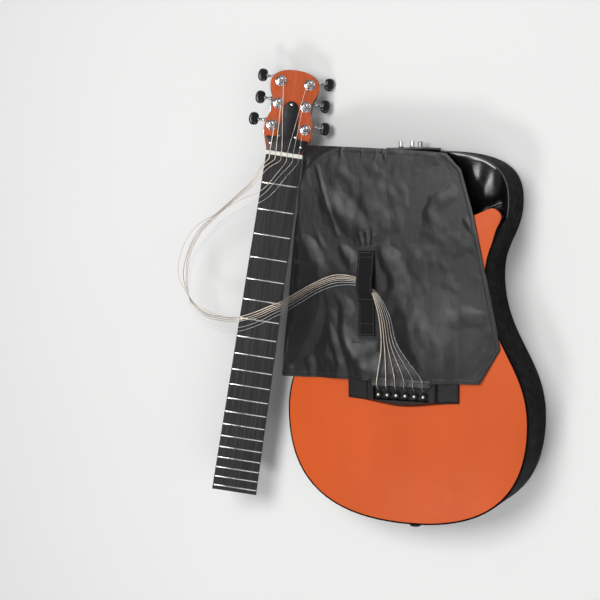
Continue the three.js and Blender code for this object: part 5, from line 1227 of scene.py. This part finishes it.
def nut():
    """The nut, with a slot for each string."""
    rings = []
    for x in np.linspace(-NUT_HALF, NUT_HALF, 181):
        high = NUT_HIGH
        for k, gauge in zip(PLACES, GAUGES):
            off = abs(x - SLOT_SPREAD * k)
            half = gauge / 2 + 0.25
            if off < half:
                high = min(high, 0.45 + (half - math.sqrt(max(0, half**2 - off**2))) * 0.6)
        inset = 0.4 if abs(x) > NUT_HALF - 0.2 else 0
        front, back = 0.3 + inset, 5.3 - inset
        section = [(front, -5.9), (back, -5.9), (back, high - 0.9), (4.9, high - 0.25)]
        section += [(4.1, high), (1.1, high), (0.5, high - 0.2), (front, high - 0.7)]
        rings.append([(x, y, z) for y, z in section])
    return loft(rings)


piece("nut_bone", *nut(), BONE, NECK, slot="ivory", stands_for="nut", sharp=30)

# Headstock
CORE_LOW = -14.8
COVER_LOW, COVER_HIGH = 0.3, 2.1
COVER_SCREWS = ((0, 59.5), (-10.5, 19.5), (10.5, 19.5), (-19, 8.4), (19, 8.4))
COVER_SCREW = [(0, -0.3), (1.8, -0.3), (1.8, 0.1), (1.53, 0.45), (0.81, 0.66), (0, 0.7)]


def head_outline(inset, base):
    """The headstock's outline from its foot at that base, anticlockwise."""
    spans = [
        ((NUT_HALF, base), (NUT_HALF, 8.4), (30, 14), (30, 28)),
        ((30, 28), (30, 43), (24, 43), (24, 58)),
        ((24, 58), (24, 71), (30.5, 71), (30.5, 84)),
        ((30.5, 84), (30.5, 84 + 19 * 0.62), (30.5 * 0.62, 103), (0, 103)),
    ]
    line = np.vstack([bezier(*s, 14)[:-1] for s in spans] + [[(0, 103)]])
    loop = np.vstack([line, line[:-1][::-1] * [-1, 1]])
    return [tuple(p) for p in offset(loop, inset)]


post_holes = [circle(side * POST_X[row], POST_Y[row], 4.9, 24) for side, row in NECK_POSTS]
veneer = plate([head_outline(0, 0.8)] + post_holes, -2, 0, 0.7)
piece("head_veneer", *veneer, VENEER, HEAD, slot="head_veneer", stands_for="headstock_face")
core = plate([head_outline(0, -5.6)] + post_holes, CORE_LOW, -2.05, 0.8)
piece("head_core", *core, NECK_BLACK, HEAD, slot="neck_black")
piece("nut_shelf", *box_solid(-22.4, 22.4, -2, 5.6, -13.5, -6.35, 0.3), NECK_BLACK, NECK, slot="neck_black")


def cover_outline():
    """The truss rod cover's outline: the headstock's foot, then an arch along the middle."""
    base = [p for p in head_outline(1.2, 1.2) if p[1] < 17]
    right = [p for p in base if p[0] > 0 and p[1] > 0.9]
    right[0] = (right[0][0], 0.3)
    arch = list(bezier((26.2, 17), (22, 17), (16, 17), (13.6, 17.6), 8))
    arch += list(bezier((13.6, 17.6), (12.5, 18.5), (12.2, 22), (9.4, 51), 12))[1:]
    arch += list(bezier((9.4, 51), (8.5, 60), (4.7, 63.5), (0, 63.5), 12))[1:]
    right += [tuple(p) for p in arch if p[0] < right[-1][0] - 0.5]
    return right + [(-x, y) for x, y in right[:-1][::-1]]


cover_plate = plate([cover_outline()], COVER_LOW, COVER_HIGH, 0.5)
piece("cover_plate", *cover_plate, COVER_PLATE, HEAD, slot="cover_plate", stands_for="truss_rod_cover")
screws = [turned(COVER_SCREW, 20, shift(x, y, COVER_HIGH)) for x, y in COVER_SCREWS]
piece("cover_screws", *merged(screws), CHROME, HEAD, slot="chrome")

# Tuners: the wheel's teeth lean as the worm's thread does
TEETH, GEAR_RADIUS, GEAR_THICK, WORM_RADIUS = 14, 5.5, 4.2, 2.6
TOOTH = ((-0.32, 4.55), (-0.115, 5.75), (-0.06, 6.02), (0.06, 6.02), (0.115, 5.75), (0.32, 4.55))
GEAR_TOP = CORE_LOW - GAP - 1.4 - 1.5
GEAR_LOW = GEAR_TOP - GEAR_THICK
WORM_Z, WORM_Y = (GEAR_TOP + GEAR_LOW) / 2, 8.1
PITCH = 2 * math.pi * GEAR_RADIUS / TEETH
LEAD = GEAR_THICK * PITCH / (2 * math.pi * WORM_RADIUS) / GEAR_RADIUS
POST_FORM = [
    (0, GEAR_LOW - 1.2), (2.4, GEAR_LOW - 1.2), (2.4, GEAR_TOP - 2.1), (3, GEAR_TOP - 2.1),
    (3, 5.6), (2.5, 6.2), (2.5, 10.3), (3, 11.9), (3, 13.0), (2.5, 13.5), (1.7, 13.5), (1.25, 13.1),
    (1.25, 10.6), (0, 10.6),
]
SHAFT_FORM = [
    (0, -9.6), (1.9, -9.6), (1.9, -4.4), (1.5, -4.1), (1.5, 4.1), (1.9, 4.4), (1.9, 9.9), (2.7, 10),
    (2.7, 11.8), (2.1, 12.6), (1.9, 13.2), (1.9, 16.6), (2.6, 17.6), (2.7, 21), (0, 21.1),
]
BUSHING_FORM = [
    (3.35, -14.5), (4.6, -14.5), (4.6, 0.32), (7, 0.32), (7, 0.9), (6.5, 1.3), (5.75, 1.32), (5.55, 0.45),
    (4.9, 0.45), (4.9, 2.6), (4.3, 3.5), (3.6, 3.7), (3.35, 3.4), (3.35, -14.5),
]
PLATE_SCREW = [(0, -16.4), (1.7, -16.4), (1.6, -16.8), (0.9, -17.15), (0, -17.2)]
BUTTON_OUT = 24.2


def gear(side):
    step = 2 * math.pi / TEETH
    outline = []
    for i in range(TEETH):
        for share, radius in TOOTH:
            a = math.pi / 2 + (i + share) * step
            outline.append((radius * math.cos(a), radius * math.sin(a)))
    rings = []
    for z in np.linspace(GEAR_LOW, GEAR_TOP, 6):
        spin = (z - WORM_Z) / GEAR_THICK * LEAD * side
        c, s = math.cos(spin), math.sin(spin)
        rings.append([(x * c - y * s, x * s + y * c, z) for x, y in outline])
    return loft(rings)


def worm(side):
    """The worm: a thread that winds along X and fades at both ends."""
    half, steps, sides = 4, 64, 24
    rings = []
    for k in range(steps + 1):
        x = -half + 2 * half * k / steps
        ends = float(smooth(min(k, steps - k) / 8))
        ring = []
        for i in range(sides):
            a = i * 2 * math.pi / sides
            phase = x / PITCH + side * a / (2 * math.pi) + 0.5
            near = abs((phase + 0.5) % 1 - 0.5) * 2
            height = 1 - float(smooth((near - 0.196) / (0.72 - 0.196)))
            radius = 1.65 + height * 1.1 * ends
            ring.append((x, -radius * math.cos(a), radius * math.sin(a)))
        rings.append(ring)
    return loft(rings)


def kidney():
    """The key's button: long along Y, with a waist on its left."""
    half, long, thick = 6.2, 8.2, 6.6
    line = [(-half, -long * 0.35)]
    for a, b, c in (
        ((-half, -long), (-half * 0.2, -long), (half * 0.1, -long)),
        ((half * 0.72, -long), (half, -long * 0.5), (half, 0)),
        ((half, long * 0.5), (half * 0.72, long), (half * 0.1, long)),
        ((-half * 0.2, long), (-half, long), (-half, long * 0.35)),
    ):
        line += [tuple(p) for p in bezier(line[-1], a, b, c, 12)[1:]]
    line += [tuple(p) for p in bezier(line[-1], (-half * 0.86, 1.6), (-half * 0.86, -1.6), line[0], 6)[1:-1]]
    rings = []
    for a in np.linspace(-math.pi / 2, math.pi / 2, 15):
        inset = 3.0 * (1 - math.cos(a)) * 0.95
        rings.append([(x, y, thick / 2 * math.sin(a)) for x, y in offset(line, inset)])
    return loft(rings)


def tuner_plate():
    """The base plate with two ears that hold the worm, and its screws."""
    base = [(-9.6, -8.5), (9.6, -8.5), (9.6, 11.1), (-9.6, 11.1)]
    parts = [plate([base, circle(0, 0, 3.35, 24)], -16.5, -15.1, 0.3)]
    upright = Matrix(((0, 0, 1, 0), (1, 0, 0, 0), (0, 1, 0, 0), (0, 0, 0, 1)))
    y0, z0 = WORM_Y - 3.3, WORM_Z - 4.1
    ear_loops = [[(y0, z0), (11.1, z0), (11.1, -15.8), (y0, -15.8)], circle(WORM_Y, WORM_Z, 2.25, 20)]
    for end in (-1, 1):
        x0, x1 = sorted((end * 7.75, end * 9.6))
        parts.append(moved(plate(ear_loops, x0, x1, 0.35), upright))
        parts.append(turned(PLATE_SCREW, 16, shift(end * 7.2, -6.1, 0)))
    return merged(parts)


for side, row in NECK_POSTS:
    name = post_name(side, row)
    post_node, key_node = f"tuner_post_{name}", f"tuner_key_{name}"
    at = HEAD @ shift(side * POST_X[row], POST_Y[row], 0)
    piece(f"machine_plate_{name}", *tuner_plate(), CHROME, at, slot="chrome",
          stands_for=f"tuner_plate_{name}", sharp=40)
    bushing = loft(lathe(rounded(BUSHING_FORM, 0.25, 2)[:-1], 40), closed=True)
    piece(f"machine_bushing_{name}", *bushing, CHROME, at, slot="chrome",
          stands_for=f"tuner_bushing_{name}", sharp=30)
    post = merged([gear(side), turned(rounded(POST_FORM, 0.3, 3), 28)])
    piece(f"machine_post_{name}", *post, CHROME, at, post_node, "chrome", post_node, 30)
    flip = Matrix.Identity(4) if side > 0 else turn(180, "X") @ turn(180, "Z")
    key_at = at @ shift(0, WORM_Y, WORM_Z) @ flip
    key = merged([turned(rounded(SHAFT_FORM, 0.25, 2), 24, turn(90, "Y")), worm(side)])
    piece(f"machine_key_{name}", *key, CHROME, key_at, key_node, "chrome", key_node, 35)
    button = moved(kidney(), shift(BUTTON_OUT, 0, 0))
    piece(f"machine_button_{name}", *button, BUTTON, key_at, key_node, "button_black", sharp=60)


# Solids that stay, with a finish, and some with softened edges
def finish_solid(name, material):
    slots = nodes[name].data.materials
    slots.clear()
    slots.append(material)


for name in ("top_bracing", "back_bracing"):
    finish_solid(name, SPRUCE)
for name in ("neck_block", "tail_block", "bridge_plate"):
    finish_solid(name, MAHOGANY)
for name in ("truss_rod", "heel_plate"):
    finish_solid(name, metal_look(f"steel_{name}", STEEL_COLOR, 0.3, 1.0, IN_METRES))
for name in ("heel_plate", "neck_block", "tail_block"):
    soft = nodes[name].modifiers.new("edges", "BEVEL")
    soft.width, soft.segments, soft.limit_method = 0.0003, 2, "ANGLE"

# Floor and light
FLOOR_HALF, FLOOR_DROP = 4, 0.0002
floor_mesh = bpy.data.meshes.new("floor")
corners = [(-FLOOR_HALF, -FLOOR_HALF, 0), (FLOOR_HALF, -FLOOR_HALF, 0)]
corners += [(FLOOR_HALF, FLOOR_HALF, 0), (-FLOOR_HALF, FLOOR_HALF, 0)]
floor_mesh.from_pydata(corners, [], [(0, 1, 2, 3)])
floor = bpy.data.objects.new("floor", floor_mesh)
floor.location.z = -FLOOR_DROP
scene.collection.objects.link(floor)
paper = Look("floor_paper", (0.86, 0.86, 0.85), 0.85, unit=IN_METRES)
paper.vary(paper.noise(400, 2), 0.01)
floor_mesh.materials.append(paper.material)

world = bpy.data.worlds.new("studio")
world.use_nodes = True
sky = world.node_tree
coordinates = sky.nodes.new("ShaderNodeTexCoord")
split = sky.nodes.new("ShaderNodeSeparateXYZ")
fade = sky.nodes.new("ShaderNodeValToRGB")
fade.color_ramp.elements[0].color = (0.62, 0.62, 0.62, 1)
fade.color_ramp.elements[1].color = (0.14, 0.14, 0.145, 1)
fade.color_ramp.elements[1].position = 0.6
sky.links.new(coordinates.outputs["Generated"], split.inputs[0])
sky.links.new(split.outputs["Z"], fade.inputs[0])
sky.links.new(fade.outputs[0], sky.nodes["Background"].inputs["Color"])
scene.world = world


def lamp(name, place, aim, size, power):
    data = bpy.data.lights.new(name, "AREA")
    data.shape, data.size, data.size_y, data.energy = "RECTANGLE", *size, power
    thing = bpy.data.objects.new(name, data)
    thing.location = place
    thing.rotation_euler = (Vector(aim) - Vector(place)).to_track_quat("-Z", "Y").to_euler()
    scene.collection.objects.link(thing)


lamp("key", (-0.15, 0.55, 1.9), (0, 0, 0), (0.9, 0.9), 23)
lamp("fill", (1.3, -0.6, 1.7), (0, 0, 0), (1.4, 1.4), 10)
lamp("low_panel", (-0.36, -1.0, 1.61), (0.13, 0.15, 0.06), (0.5, 0.4), 8)
